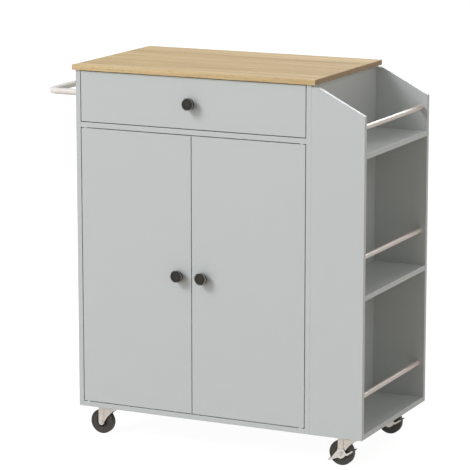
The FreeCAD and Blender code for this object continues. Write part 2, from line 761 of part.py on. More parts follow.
def runners():
    """Left-hand runner, mirrored for the right: a channel on the cabinet and an angle on the drawer."""
    top = rail_bottom + channel_height
    web_face = inner_left + runner_sheet
    lip_x = inner_left + channel_depth
    web = box((inner_left, runner_front, rail_bottom), (web_face, runner_back, top))
    floor = box((inner_left, runner_front, rail_bottom), (lip_x, runner_back, rail_bottom + runner_sheet))
    lip = box((inner_left, runner_front, top - runner_sheet), (lip_x, runner_back, top))
    stop = box((inner_left, runner_back - runner_sheet, rail_bottom), (lip_x, runner_back, top))
    roller_x = web_face + roller_side_play
    pin_length = 2 * roller_side_play + roller_width
    pin_start = Vector(web_face, cabinet_roller_y, cabinet_roller_level)
    pin = rod(pin_start, X, roller_pin_radius, pin_length)
    head = rod(pin_start + X * pin_length, X, rivet_head_radius, rivet_head_height)
    rail = fused([web, floor, lip, stop, pin, head])
    screw_holes = []
    hole_radius = wood_screw_radius + hole_fit
    for share in channel_screw_shares:
        place = Vector(web_face, between(runner_front, runner_back, share), rail_bottom + channel_height / 2)
        wood_screw(place, -X, "left_side_panel")
        wood_screw(Vector(cabinet_width - place.x, place.y, place.z), X, "right_side_panel")
        screw_holes.append(rod(place + X * overrun, -X, hole_radius, runner_sheet + 2 * overrun))
    rail = rail.cut(screw_holes)
    add("cabinet_rail_left", rail)
    add("cabinet_rail_right", mirrored(rail))
    front_roller = roller(cabinet_roller_y, cabinet_roller_level, roller_x)
    add("cabinet_roller_left", front_roller)
    add("cabinet_roller_right", mirrored(front_roller))

    face = drawer_left - runner_sheet
    ledge_top = ledge_bottom + runner_sheet
    ledge_end = drawer_roller_y - roller_radius - roller_side_play
    web = box((face, board, drawer_box_bottom), (drawer_left, drawer_box_back, ledge_top))
    ledge = box((web_face + roller_side_play, board, ledge_bottom), (face, ledge_end, ledge_top))
    pin_start = Vector(face, drawer_roller_y, drawer_roller_level)
    pin = rod(pin_start, -X, roller_pin_radius, pin_length)
    head = rod(pin_start - X * pin_length, -X, rivet_head_radius, rivet_head_height)
    angle = fused([web, ledge, pin, head])
    angle_holes = []
    screw_level = between(drawer_box_bottom, ledge_bottom, 1 / 2)
    for share in drawer_screw_shares:
        place = Vector(face, between(board, drawer_box_back, share), screw_level)
        wood_screw(place, X, "drawer_left_side", "drawer_fixings")
        wood_screw(Vector(cabinet_width - face, place.y, place.z), -X, "drawer_right_side", "drawer_fixings")
        angle_holes.append(rod(place - X * overrun, X, hole_radius, runner_sheet + 2 * overrun))
    angle = angle.cut(angle_holes)
    add("drawer_rail_left", angle)
    add("drawer_rail_right", mirrored(angle))
    back_roller = roller(drawer_roller_y, drawer_roller_level, face - roller_side_play - roller_width)
    add("drawer_roller_left", back_roller)
    add("drawer_roller_right", mirrored(back_roller))


# Casters, drawn about the swivel axis with the wheel trailing towards -x
plate_bottom = caster_height - plate_thickness
crown_top = plate_bottom - race_height - race_gap
crown_bottom = crown_top - fork_sheet
fork_inner = wheel_width / 2 + fork_side_gap
fork_outer = fork_inner + fork_sheet
leg_face = fork_outer + fork_leg_emboss


def caster_wheel():
    """A moulded wheel: tyre, shallow web and a ring of sunk pocket round the hub."""
    half = wheel_width / 2
    web = half - wheel_web_recess
    pocket = web - wheel_pocket_depth
    hub_half = fork_inner - wheel_side_play
    bore = axle_radius + running_fit
    pocket_outer = wheel_hub_radius + wheel_pocket_width
    tyre_inner = wheel_radius - wheel_tyre
    rim = wheel_radius - wheel_edge_round
    bend = wheel_edge_round * (1 - math.sqrt(0.5))
    side = [
        Vector(bore, -hub_half, 0),
        Vector(wheel_hub_radius, -hub_half, 0),
        Vector(wheel_hub_radius, -pocket, 0),
        Vector(pocket_outer, -pocket, 0),
        Vector(pocket_outer, -web, 0),
        Vector(tyre_inner, -web, 0),
        Vector(tyre_inner, -half, 0),
        Vector(rim, -half, 0),
    ]
    curve = Vector(wheel_radius - bend, -half + bend, 0)
    tread = Vector(wheel_radius, -half + wheel_edge_round, 0)
    flip = [Vector(point.x, -point.y, 0) for point in side]
    edges = [Part.LineSegment(side[i], side[i + 1]).toShape() for i in range(len(side) - 1)]
    edges.append(Part.Arc(side[-1], curve, tread).toShape())
    other_tread = Vector(tread.x, -tread.y, 0)
    edges.append(Part.LineSegment(tread, other_tread).toShape())
    edges.append(Part.Arc(other_tread, Vector(curve.x, -curve.y, 0), flip[-1]).toShape())
    edges += [Part.LineSegment(flip[i], flip[i - 1]).toShape() for i in range(len(side) - 1, 0, -1)]
    edges.append(Part.LineSegment(flip[0], side[0]).toShape())
    return turned(edges, Vector(), Y)


def fork_cheek(inner_y, thickness):
    """One leg of the fork: straight behind, rounded at the axle, and flaring forward to the crown."""
    axle_x = -caster_trail
    low = wheel_radius - fork_leg_drop + fork_leg_half_width
    back_x = axle_x - fork_leg_half_width
    front_x = axle_x + fork_leg_half_width
    waist_x = between(front_x, fork_crown_half_length, fork_waist_shares[0])
    waist_z = between(low, crown_bottom, fork_waist_shares[1])
    crown_back = Vector(back_x, inner_y, crown_top)
    crown_front = Vector(fork_crown_half_length, inner_y, crown_top)
    neck = Vector(fork_crown_half_length, inner_y, crown_bottom)
    edges = [
        Part.LineSegment(crown_back, crown_front),
        Part.LineSegment(crown_front, neck),
        Part.Arc(neck, Vector(waist_x, inner_y, waist_z), Vector(front_x, inner_y, low)),
        Part.Arc(
            Vector(front_x, inner_y, low),
            Vector(axle_x, inner_y, low - fork_leg_half_width),
            Vector(back_x, inner_y, low),
        ),
        Part.LineSegment(Vector(back_x, inner_y, low), crown_back),
    ]
    outline = Part.Wire([edge.toShape() for edge in edges])
    return Part.Face(outline).extrude(Y * thickness)


def leg_rib(start_y):
    """The raised stretch of the leg above and round the axle."""
    axle_x = -caster_trail
    low = wheel_radius - fork_leg_drop + fork_leg_half_width
    corner = (axle_x - fork_leg_half_width, start_y, low)
    opposite = (axle_x + fork_leg_half_width, start_y + fork_leg_emboss, crown_top - fork_sheet)
    end = rod(Vector(axle_x, start_y, low), Y, fork_leg_half_width, fork_leg_emboss)
    return fused([box(corner, opposite), end])


def caster_fork():
    crown_low = (-caster_trail - fork_leg_half_width, -fork_outer, crown_bottom)
    crown = box(crown_low, (fork_crown_half_length, fork_outer, crown_top))
    disc = rod(Z * crown_bottom, Z, fork_crown_radius, fork_sheet)
    pieces = [
        crown,
        disc,
        fork_cheek(-fork_outer, fork_sheet),
        fork_cheek(fork_inner, fork_sheet),
        leg_rib(-leg_face),
        leg_rib(fork_outer),
    ]
    slot_low = (-fork_slot_length / 2, -leg_face - overrun, crown_bottom - fork_slot_height)
    slot_high = (fork_slot_length / 2, leg_face + overrun, crown_bottom)
    pin_hole = rod(Z * (crown_bottom - overrun), Z, kingpin_radius + running_fit, fork_sheet + 2 * overrun)
    axle_start = Vector(-caster_trail, -leg_face - overrun, wheel_radius)
    axle_hole = rod(axle_start, Y, axle_radius + hole_fit, 2 * (leg_face + overrun))
    return fused(pieces).cut([box(slot_low, slot_high), pin_hole, axle_hole])


def caster_axle(braked):
    """The axle, with a head at each end, long enough to carry the brake lever where there is one."""
    reach = leg_face
    if braked:
        reach += 2 * brake_side_gap + brake_sheet
    start = Vector(-caster_trail, -reach, wheel_radius)
    shaft = rod(start, Y, axle_radius, 2 * reach)
    near_head = rod(start, -Y, axle_head_radius, axle_head_height)
    far_head = rod(start + Y * (2 * reach), Y, axle_head_radius, axle_head_height)
    return fused([shaft, near_head, far_head])


def caster_plate():
    """The top plate with its raised race and the riveted pin that the fork turns on."""
    half = plate_size / 2
    plate = box((-half, -half, plate_bottom), (half, half, caster_height))
    corners = [edge for edge in plate.Edges if abs(edge.tangentAt(edge.FirstParameter).z) > 0.5]
    plate = plate.makeFillet(plate_corner_round, corners)
    race = Part.makeCone(race_radius, race_neck_radius, race_height, Z * (plate_bottom - race_height), Z)
    pin_bottom = crown_bottom - race_gap
    pin = rod(Z * pin_bottom, Z, kingpin_radius, plate_bottom - pin_bottom)
    head = rod(Z * (pin_bottom - kingpin_head_height), Z, kingpin_head_radius, kingpin_head_height)
    hole = plate_hole_distance / 2
    holes = []
    for x in (-hole, hole):
        for y in (-hole, hole):
            start = Vector(x, y, plate_bottom - race_height)
            hole_length = race_height + plate_thickness + overrun
            holes.append(rod(start, Z, wood_screw_radius + hole_fit, hole_length))
    return fused([plate, race, pin, head]).cut(holes)


def brake_lever():
    """Two cheeks on the axle, one each side of the fork, joined by the foot bar behind the wheel."""
    inner = leg_face + brake_side_gap
    pieces = []
    for start_y in (-inner - brake_sheet, inner):
        points = [
            Vector(-caster_trail + brake_reach * x, start_y, wheel_radius + brake_reach * z)
            for x, z in brake_outline_shares
        ]
        pieces.append(prism(points, Y * brake_sheet))
    angle = math.radians(brake_bar_angle)
    bar_x = -caster_trail + brake_bar_distance * math.cos(angle)
    bar_z = wheel_radius + brake_bar_distance * math.sin(angle)
    bar_start = Vector(bar_x, -inner - brake_sheet, bar_z)
    pieces.append(rod(bar_start, Y, brake_bar_radius, 2 * (inner + brake_sheet)))
    hole_start = Vector(-caster_trail, -inner - brake_sheet - overrun, wheel_radius)
    hole = rod(hole_start, Y, axle_radius + running_fit, 2 * (inner + brake_sheet + overrun))
    return fused(pieces).cut(hole)


def casters():
    left = caster_inset_left
    right = rack_outer - caster_inset_right
    front = caster_inset_front
    back = cabinet_depth - caster_inset_back
    places = {
        "front_left": (left, front, "bottom_board", False),
        "rear_left": (left, back, "bottom_board", False),
        "front_right": (right, front, "rack_bottom_shelf", True),
        "rear_right": (right, back, "rack_bottom_shelf", True),
    }
    for name, (x, y, carrier, braked) in places.items():
        place = Vector(x, y, 0)
        wheel_place = Vector(x - caster_trail, y, wheel_radius)
        add("caster_plates", moved(caster_plate(), place, X, Z))
        add("fork_" + name, moved(caster_fork(), place, X, Z))
        add("axle_" + name, moved(caster_axle(braked), place, X, Z))
        add("wheel_" + name, moved(caster_wheel(), wheel_place, X, Z))
        if braked:
            add("brake_" + name, moved(brake_lever(), place, X, Z))
        hole = plate_hole_distance / 2
        for dx in (-hole, hole):
            for dy in (-hole, hole):
                seat = Vector(x + dx, y + dy, plate_bottom)
                head = rod(seat, -Z, wood_screw_head_radius, wood_screw_head_height)
                shank = rod(seat, Z, wood_screw_radius, plate_thickness + wood_screw_length)
                add("wood_screws", fused([head, shank]))
                pilot_length = plate_thickness + wood_screw_length + hole_end_gap
                cut(carrier, rod(seat, Z, wood_screw_radius + hole_fit, pilot_length))


def save():
    """Cuts the holes, sets the origin at the middle of the footprint and writes each node."""
    whole_left = -towel_bar_projection - towel_bar_radius
    middle_x = (whole_left + rack_outer) / 2
    middle_y = (cabinet_depth - knob_projection) / 2
    os.makedirs("parts", exist_ok=True)
    for node, shapes in solids.items():
        if node in cuts:
            shapes = [shape.cut(cuts[node]) for shape in shapes]
        pieces = [solid for shape in shapes for solid in shape.Solids]
        for solid in pieces:
            solid.translate(Vector(-middle_x, -middle_y, 0))
        result = pieces[0] if len(pieces) == 1 else Part.makeCompound(pieces)
        assert result.isValid(), node
        result.exportStep("parts/" + node + ".step")
        print(node, len(pieces), round(result.Volume))


worktop()
side_panels()
across_board("bottom_board", caster_height, back_panel_front)
across_board("divider_board", divider_bottom, back_panel_front)
back_stretcher()
back_panel()
cupboard_shelf()
rack_panels()
rack_shelf("rack_bottom_shelf", caster_height)
rack_shelf("rack_middle_shelf", rack_middle_shelf_bottom)
rack_shelf("rack_top_shelf", rack_top_shelf_bottom)
rack_rail("rack_bottom_rail", bottom_board_top + rack_rail_rise)
rack_rail("rack_middle_rail", rack_middle_shelf_top + rack_rail_rise)
rack_rail("rack_top_rail", rack_top_shelf_top + rack_top_rail_rise)
towel_bar()
door("left")
door("right")
door_catch()
drawer_box()
runners()
casters()
save()
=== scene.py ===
import json
import logging
import math
from dataclasses import dataclass, field
from enum import Enum
from typing import Callable, Optional, Sequence

import bmesh
import bpy
from mathutils import Matrix, Vector


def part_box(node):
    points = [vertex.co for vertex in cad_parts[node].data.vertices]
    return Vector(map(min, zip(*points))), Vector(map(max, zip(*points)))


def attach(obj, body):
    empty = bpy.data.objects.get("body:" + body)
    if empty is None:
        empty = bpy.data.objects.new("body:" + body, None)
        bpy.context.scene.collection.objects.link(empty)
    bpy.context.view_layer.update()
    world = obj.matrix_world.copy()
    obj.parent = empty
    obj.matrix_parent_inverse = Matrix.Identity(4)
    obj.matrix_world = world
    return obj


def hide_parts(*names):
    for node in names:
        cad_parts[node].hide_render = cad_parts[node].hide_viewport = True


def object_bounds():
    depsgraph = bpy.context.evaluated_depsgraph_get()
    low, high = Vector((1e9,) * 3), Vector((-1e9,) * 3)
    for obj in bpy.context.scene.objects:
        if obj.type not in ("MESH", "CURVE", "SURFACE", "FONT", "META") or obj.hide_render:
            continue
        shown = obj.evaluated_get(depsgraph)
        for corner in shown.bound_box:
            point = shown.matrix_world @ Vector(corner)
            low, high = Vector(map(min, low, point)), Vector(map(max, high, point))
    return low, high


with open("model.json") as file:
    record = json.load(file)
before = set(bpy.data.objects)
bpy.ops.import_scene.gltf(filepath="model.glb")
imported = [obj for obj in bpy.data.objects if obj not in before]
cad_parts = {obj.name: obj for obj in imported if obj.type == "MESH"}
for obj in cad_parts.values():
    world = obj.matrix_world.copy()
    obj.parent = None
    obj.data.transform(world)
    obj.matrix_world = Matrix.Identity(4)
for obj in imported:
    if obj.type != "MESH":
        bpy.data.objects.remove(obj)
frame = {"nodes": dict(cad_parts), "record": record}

log = logging.getLogger("kitchen_island")

CAD_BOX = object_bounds()

NODE_BODY = {
    node: body for body, nodes in frame["record"]["behaviour"]["bodies"].items() for node in nodes
}
NODE_SLOT = {part["node"]: part["material_slot"] for part in frame["record"]["subparts"]}

MM = 0.001
SAME_POINT = 0.001 * MM
FLAT_TURN = math.radians(0.2)
SHADED_TURN = math.radians(32)
SHARP_TURN = math.radians(35)
BOARD_ROUNDING = 0.45 * MM
METALWORK_ROUNDING = 0.2 * MM
HOLE_EDGE = 4 * MM  # the edges of holes in boards are shorter than this

Colour = tuple[float, float, float, float]
Socket = bpy.types.NodeSocket
WorkMesh = bmesh.types.BMesh


class Hand(Enum):
    """A side of the island, seen from the doors."""

    LEFT = "left"
    RIGHT = "right"


class Corner(Enum):
    """A corner of the island that stands on a caster."""

    FRONT_LEFT = "front_left"
    REAR_LEFT = "rear_left"
    FRONT_RIGHT = "front_right"
    REAR_RIGHT = "rear_right"


def srgb(*screen: int) -> Colour:
    """A colour given as it looks on a screen, made linear.

    Args:
        screen: Red, green and blue, each from 0 to 255.

    Returns:
        The linear colour with an alpha of one.
    """
    shares = (value / 255 for value in screen)
    return (*(s / 12.92 if s <= 0.04045 else ((s + 0.055) / 1.055) ** 2.4 for s in shares), 1.0)


# Shader nodes
@dataclass
class NodeDesk:
    """Adds and joins the nodes of one shader tree.

    Attributes:
        tree: The tree that the nodes go in.
    """

    tree: bpy.types.NodeTree

    def add(self, kind: str, inputs: Optional[dict] = None, **settings: object) -> bpy.types.Node:
        """Adds a node.

        Args:
            kind: The node's type.
            inputs: Values or sockets for the node's inputs, by socket name or number.
            settings: The node's own settings.

        Returns:
            The new node.
        """
        node = self.tree.nodes.new(kind)
        for name, value in settings.items():
            setattr(node, name, value)
        for name, value in (inputs or {}).items():
            self.feed(node.inputs[name], value)
        return node

    def feed(self, socket: Socket, value: object) -> None:
        """Joins an output to a socket, or sets the socket's own value.

        Args:
            socket: The input.
            value: An output socket or a plain value.
        """
        if isinstance(value, Socket):
            self.tree.links.new(value, socket)
        else:
            socket.default_value = value

    def maths(self, operation: str, *values: object, clamp: bool = False) -> Socket:
        """A Math node's result."""
        inputs = dict(enumerate(values))
        return self.add("ShaderNodeMath", inputs, operation=operation, use_clamp=clamp).outputs[0]

    def weighted(self, *parts: tuple[object, object], start: float = 0.0) -> Socket:
        """A start plus several values, each times its own weight.

        Args:
            parts: The values with their weights.
            start: What they are added to.

        Returns:
            The sum.
        """
        total = start
        for value, weight in parts:
            total = self.maths("MULTIPLY_ADD", value, weight, total)
        return total

    def mask(self, where: object, broken: object, amount: object) -> Socket:
        """How much of a layer lies at a place: its field, times what breaks it up, times its amount."""
        return self.maths("MULTIPLY", self.maths("MULTIPLY", where, broken), amount, clamp=True)

    def noise(self, vector: object, scale: float, detail: float = 3.0, rough: float = 0.5) -> Socket:
        """A plain noise value over a place."""
        inputs = {"Vector": vector, "Scale": scale, "Detail": detail, "Roughness": rough}
        return self.add("ShaderNodeTexNoise", inputs).outputs["Fac"]

    def drawn_noise(
        self, vector: object, scale: Sequence[float], detail: float, rough: float = 0.5
    ) -> Socket:
        """A noise value over a place that is first stretched along its own axes."""
        mapping = self.add("ShaderNodeMapping", {"Vector": vector, "Scale": scale})
        return self.noise(mapping.outputs["Vector"], 1.0, detail, rough)

    def ramp(self, value: object, *stops: tuple[float, float]) -> Socket:
        """A grey ramp.

        Args:
            value: What the ramp reads.
            stops: Two places from 0 to 1, each with its grey value.

        Returns:
            The ramp's colour output.
        """
        node = self.add("ShaderNodeValToRGB", {0: value})
        for element, (place, grey) in zip(node.color_ramp.elements, stops):
            element.position = place
            element.color = (grey, grey, grey, 1.0)
        return node.outputs["Color"]

    def mix(self, amount: object, first: object, second: object, blend: str = "MIX") -> Socket:
        """Two colours mixed.

        Args:
            amount: How much of the second there is.
            first: The first colour.
            second: The second colour.
            blend: The way that they are mixed.

        Returns:
            The mixed colour.
        """
        inputs = {0: amount, 6: first, 7: second}
        settings = {"data_type": "RGBA", "blend_type": blend, "clamp_result": True}
        return self.add("ShaderNodeMix", inputs, **settings).outputs[2]

    def toned(self, tint: object, value: object, amount: object) -> Socket:
        """A colour made lighter or darker as a value swings about a half.

        Args:
            tint: The colour.
            value: The value.
            amount: How far the colour goes with it.

        Returns:
            The changed colour.
        """
        swing = self.maths("SUBTRACT", value, 0.5)
        factor = self.weighted((swing, amount), start=1.0)
        grey = self.add("ShaderNodeCombineColor", {0: factor, 1: factor, 2: factor}).outputs[0]
        return self.mix(1.0, tint, grey, "MULTIPLY")

    def facing(self, axis: int) -> Socket:
        """How much a face looks along an axis."""
        normal = self.add("ShaderNodeNewGeometry").outputs["Normal"]
        return self.add("ShaderNodeSeparateXYZ", {0: normal}).outputs[axis]

    def layer(self, name: str) -> Socket:
        """The value of one of the mesh's own vertex layers."""
        return self.add("ShaderNodeAttribute", attribute_name=name).outputs["Fac"]


def soft_mottle_body(desk: NodeDesk, given: dict) -> dict:
    """Slow, faint changes of tone over a painted or moulded surface.

    Args:
        desk: The group's tree.
        given: The group's inputs, by name.

    Returns:
        The group's outputs, by name.
    """
    inputs = {0: given["Place"], "Scale": given["Grain"]}
    scaled = desk.add("ShaderNodeVectorMath", inputs, operation="SCALE").outputs["Vector"]
    both = desk.weighted((desk.noise(scaled, 5.0, 2.0), 0.65), (desk.noise(scaled, 60.0, 4.0), 0.35))
    return {
        "Tint": desk.toned(given["Tint"], both, given["Amount"]),
        "Mask": desk.maths("SUBTRACT", both, 0.5),
    }


def roller_peel_body(desk: NodeDesk, given: dict) -> dict:
    """The fine pebbled height that a paint roller or a spray leaves.

    Args:
        desk: The group's tree.
        given: The group's inputs, by name.

    Returns:
        The group's outputs, by name.
    """
    coarse = desk.noise(given["Place"], 420.0, 2.0, 0.4)
    fine = desk.noise(given["Place"], 1500.0, 2.0)
    return {"Height": desk.weighted((coarse, 0.7), (fine, 0.3))}


def rubbed_and_lit_edge_body(desk: NodeDesk, given: dict) -> dict:
    """Paint or plate thinned by wear along the edges, broken up by noise; on the knobs' lip the lighter
    colour is a painted highlight.

    Args:
        desk: The group's tree.
        given: The group's inputs, by name.

    Returns:
        The group's outputs, by name.
    """
    broken = desk.ramp(desk.noise(given["Place"], 35.0, 4.0, 0.6), (0.42, 0.15), (0.62, 1.0))
    mask = desk.mask(given["Edge"], broken, given["Amount"])
    return {"Tint": desk.mix(mask, given["Tint"], given["Worn"])}


def painted_corner_shade_body(desk: NodeDesk, given: dict) -> dict:
    """Painted shade: a dark colour in concave corners, pockets and other marked places where shade falls,
    broken up by noise.

    Args:
        desk: The group's tree.
        given: The group's inputs, by name.

    Returns:
        The group's outputs, by name.
    """
    thick = desk.weighted((desk.noise(given["Place"], 90.0, 3.0, 0.6), 0.5), start=0.65)
    mask = desk.mask(given["Hollow"], thick, given["Amount"])
    return {"Tint": desk.mix(mask, given["Tint"], given["Grime"])}


def dust_and_top_light_body(desk: NodeDesk, given: dict) -> dict:
    """A film of dust on the faces that look up, faint on most finishes; on the knobs it is strong and paints
    a highlight on their tops.

    Args:
        desk: The group's tree.
        given: The group's inputs, by name.

    Returns:
        The group's outputs, by name.
    """
    level = desk.ramp(desk.facing(2), (0.6, 0.0), (1.0, 1.0))
    mask = desk.mask(level, desk.noise(given["Place"], 14.0, 6.0, 0.65), given["Amount"])
    return {"Tint": desk.mix(mask, given["Tint"], given["Dust"]), "Mask": mask}


def oak_figure_body(desk: NodeDesk, given: dict) -> dict:
    """Straight-grained oak: slow bands, fine streaks, and short dark pores along the grain.

    Args:
        desk: The group's tree.
        given: The group's inputs, by name.

    Returns:
        The group's outputs, by name.
    """
    place = given["Place"]
    bend = desk.maths("MULTIPLY", desk.drawn_noise(place, (1.5, 6.0, 6.0), 2.0), 0.035)
    nudge = desk.add("ShaderNodeCombineXYZ", {1: bend}).outputs[0]
    bent = desk.add("ShaderNodeVectorMath", {0: place, 1: nudge}, operation="ADD").outputs[0]
    band = desk.drawn_noise(bent, (1.2, 26.0, 26.0), 3.0, 0.55)
    streak = desk.drawn_noise(bent, (5.0, 210.0, 210.0), 4.0, 0.6)
    fibre = desk.drawn_noise(bent, (22.0, 900.0, 900.0), 3.0, 0.6)
    pores = desk.ramp(desk.drawn_noise(bent, (60.0, 1300.0, 1300.0), 2.0), (0.60, 0.0), (0.70, 1.0))
    figure = desk.weighted((band, 0.50), (streak, 0.34), (fibre, 0.16))
    wood = desk.mix(desk.ramp(figure, (0.38, 0.0), (0.62, 1.0)), given["Dark"], given["Light"])
    return {
        "Tint": desk.mix(desk.maths("MULTIPLY", pores, given["Pores"]), wood, given["Pore"]),
        "Height": desk.weighted((fibre, 0.4), (pores, -0.8)),
        "Mask": pores,
    }


def turned_lines_body(desk: NodeDesk, given: dict) -> dict:
    """The fine rings that a lathe tool leaves, read from the distance to the axis.

    Args:
        desk: The group's tree.
        given: The group's inputs, by name.

    Returns:
        The group's outputs, by name.
    """
    lines = []
    for scale, detail in ((14.0, 3.0), (70.0, 2.0)):
        inputs = {"W": given["Reach"], "Scale": scale, "Detail": detail}
        ring = desk.add("ShaderNodeTexNoise", inputs, noise_dimensions="1D").outputs["Fac"]
        lines.append((ring, 0.3))
    rings = desk.weighted(*lines, (desk.noise(given["Place"], 380.0, 3.0, 0.6), 0.4))
    return {"Tint": desk.toned(given["Tint"], rings, given["Amount"]), "Height": rings}


def drawn_metal_body(desk: NodeDesk, given: dict) -> dict:
    """Rolled or plated sheet: cloudy spangle, fine lines and a few scratches.

    Args:
        desk: The group's tree.
        given: The group's inputs, by name.

    Returns:
        The group's outputs, by name.
    """
    place = given["Place"]
    lines = desk.drawn_noise(place, (120.0, 120.0, 2600.0), 3.0, 0.6)
    cloud = desk.noise(place, 130.0, 4.0, 0.6)
    spangle = desk.add("ShaderNodeTexVoronoi", {"Vector": place, "Scale": 520.0}).outputs["Distance"]
    value = desk.weighted((cloud, 0.55), (lines, 0.25), (spangle, 0.3))
    return {"Tint": desk.toned(given["Tint"], value, given["Amount"]), "Mask": value, "Height": lines}


WOOD = (0.5, 0.4, 0.3, 1.0)

# The effects' sockets, each with its type and its value where nothing is joined
SOCKETS = {
    "Place": ("Vector", None),
    "Tint": ("Color", (0.5, 0.5, 0.5, 1.0)),
    "Amount": ("Float", 1.0),
    "Grain": ("Float", 1.0),
    "Edge": ("Float", 0.0),
    # edge wear colour, which on the knobs' lip is a painted highlight
    "Worn": ("Color", (0.9, 0.9, 0.9, 1.0)),
    # the mask and the dark colour of painted shade
    "Hollow": ("Float", 0.0),
    "Grime": ("Color", (0.014, 0.012, 0.010, 1.0)),
    # dust colour, which on the knobs' tops is a painted highlight
    "Dust": ("Color", (0.7, 0.68, 0.64, 1.0)),
    "Reach": ("Float", 0.0),
    "Dark": ("Color", WOOD),
    "Light": ("Color", WOOD),
    "Pore": ("Color", WOOD),
    "Pores": ("Float", 0.5),
    "Mask": ("Float", None),
    "Height": ("Float", None),
}


@dataclass(frozen=True)
class Effect:
    """A shader effect that several finishes share.

    Attributes:
        name: The effect's name.
        inputs: The names of its inputs.
        outputs: The names of its outputs.
        body: Makes its nodes, from the input sockets to the output values.
    """

    name: str
    inputs: tuple[str, ...]
    outputs: tuple[str, ...]
    body: Callable[[NodeDesk, dict], dict]

    def build(self) -> bpy.types.NodeTree:
        """Builds the effect as a node group.

        Returns:
            The group.
        """
        tree = bpy.data.node_groups.new(self.name, "ShaderNodeTree")
        for way, names in (("INPUT", self.inputs), ("OUTPUT", self.outputs)):
            for name in names:
                kind, default = SOCKETS[name]
                item = tree.interface.new_socket(name, in_out=way, socket_type="NodeSocket" + kind)
                if default is not None:
                    item.default_value = default
        desk = NodeDesk(tree)
        entry = desk.add("NodeGroupInput").outputs
        desk.add("NodeGroupOutput", self.body(desk, {name: entry[name] for name in self.inputs}))
        return tree


@dataclass
class EffectShelf:
    """The shared effects, each built once.

    Attributes:
        groups: The node groups, by the effects' names.
    """

    groups: dict = field(default_factory=dict)

    def build(self) -> None:
        """Makes every shared effect."""
        for name, inputs, outputs, body in (
            ("soft_mottle", ("Place", "Tint", "Grain", "Amount"), ("Tint", "Mask"), soft_mottle_body),
            ("roller_peel", ("Place",), ("Height",), roller_peel_body),
            # edge wear, which on the knobs' lip is a painted highlight
            ("rubbed_and_lit_edge", ("Place", "Tint", "Worn", "Edge", "Amount"), ("Tint",), rubbed_and_lit_edge_body),
            # painted shade in concave corners and marked places
            ("painted_corner_shade", ("Place", "Tint", "Grime", "Hollow", "Amount"), ("Tint",), painted_corner_shade_body),
            # dust, which on the knobs' tops is a painted highlight
            ("dust_and_top_light", ("Place", "Tint", "Dust", "Amount"), ("Tint", "Mask"), dust_and_top_light_body),
            ("turned_lines", ("Place", "Tint", "Reach", "Amount"), ("Tint", "Height"), turned_lines_body),
            (
                "oak_figure",
                ("Place", "Dark", "Light", "Pore", "Pores"),
                ("Tint", "Height", "Mask"),
                oak_figure_body,
            ),
            ("drawn_metal", ("Place", "Tint", "Amount"), ("Tint", "Mask", "Height"), drawn_metal_body),
        ):
            self.groups[name] = Effect(name, inputs, outputs, body).build()


EFFECTS = EffectShelf()


@dataclass
class Surface:
    """A material under way: its nodes, its shader and the place that patterns read.

    Attributes:
        name: The material's name.
    """

    name: str

    def __post_init__(self) -> None:
        """Starts the material with an empty Principled shader."""
        self.material = bpy.data.materials.new(self.name)
        self.material.use_nodes = True
        self.desk = NodeDesk(self.material.node_tree)
        self.shader = self.material.node_tree.nodes["Principled BSDF"]
        self.place = self.desk.add("ShaderNodeTexCoord").outputs["Object"]
        self.edge = self.desk.layer("edge")

    def use(self, effect: str, **inputs: object) -> bpy.types.NodeOutputs:
        """Places a shared effect.

        Args:
            effect: The effect's name.
            inputs: Its values, by socket name.

        Returns:
            The effect's outputs.
        """
        values = {"Place": self.place, **inputs}
        return self.desk.add("ShaderNodeGroup", values, node_tree=EFFECTS.groups[effect]).outputs

    def rubbed_and_lit(self, tint: object, worn_and_lit: Colour, amount: float) -> Socket:
        """A colour that turns to another along the edges: wear on most finishes, a painted highlight on the
        knobs' lip.
        """
        return self.use("rubbed_and_lit_edge", Tint=tint, Worn=worn_and_lit, Edge=self.edge, Amount=amount)["Tint"]

    def painted_in_shade(self, tint: object, amount: float) -> Socket:
        """A colour darkened by painted shade in concave corners and other marked places."""
        return self.use("painted_corner_shade", Tint=tint, Hollow=self.desk.layer("hollow"), Amount=amount)["Tint"]

    def finish(self, tint: object, rough: object, **values: object) -> None:
        """Sets the shader's colour and roughness, and more of its sockets.

        Args:
            tint: The colour.
            rough: The roughness.
            values: The other sockets' values, with underscores for the spaces in their names.
        """
        for name, value in {"Base_Color": tint, "Roughness": rough, **values}.items():
            self.desk.feed(self.shader.inputs[name.replace("_", " ")], value)

    def bump(self, height: object, distance: float, strength: float) -> bpy.types.Material:
        """Joins a height to the shader's normal, which ends the material.

        Args:
            height: The height output.
            distance: How deep a height of one is, in metres.
            strength: How strongly it shows.

        Returns:
            The material.
        """
        inputs = {"Height": height, "Distance": distance, "Strength": strength}
        normal = self.desk.add("ShaderNodeBump", inputs).outputs["Normal"]
        self.desk.feed(self.shader.inputs["Normal"], normal)
        return self.material


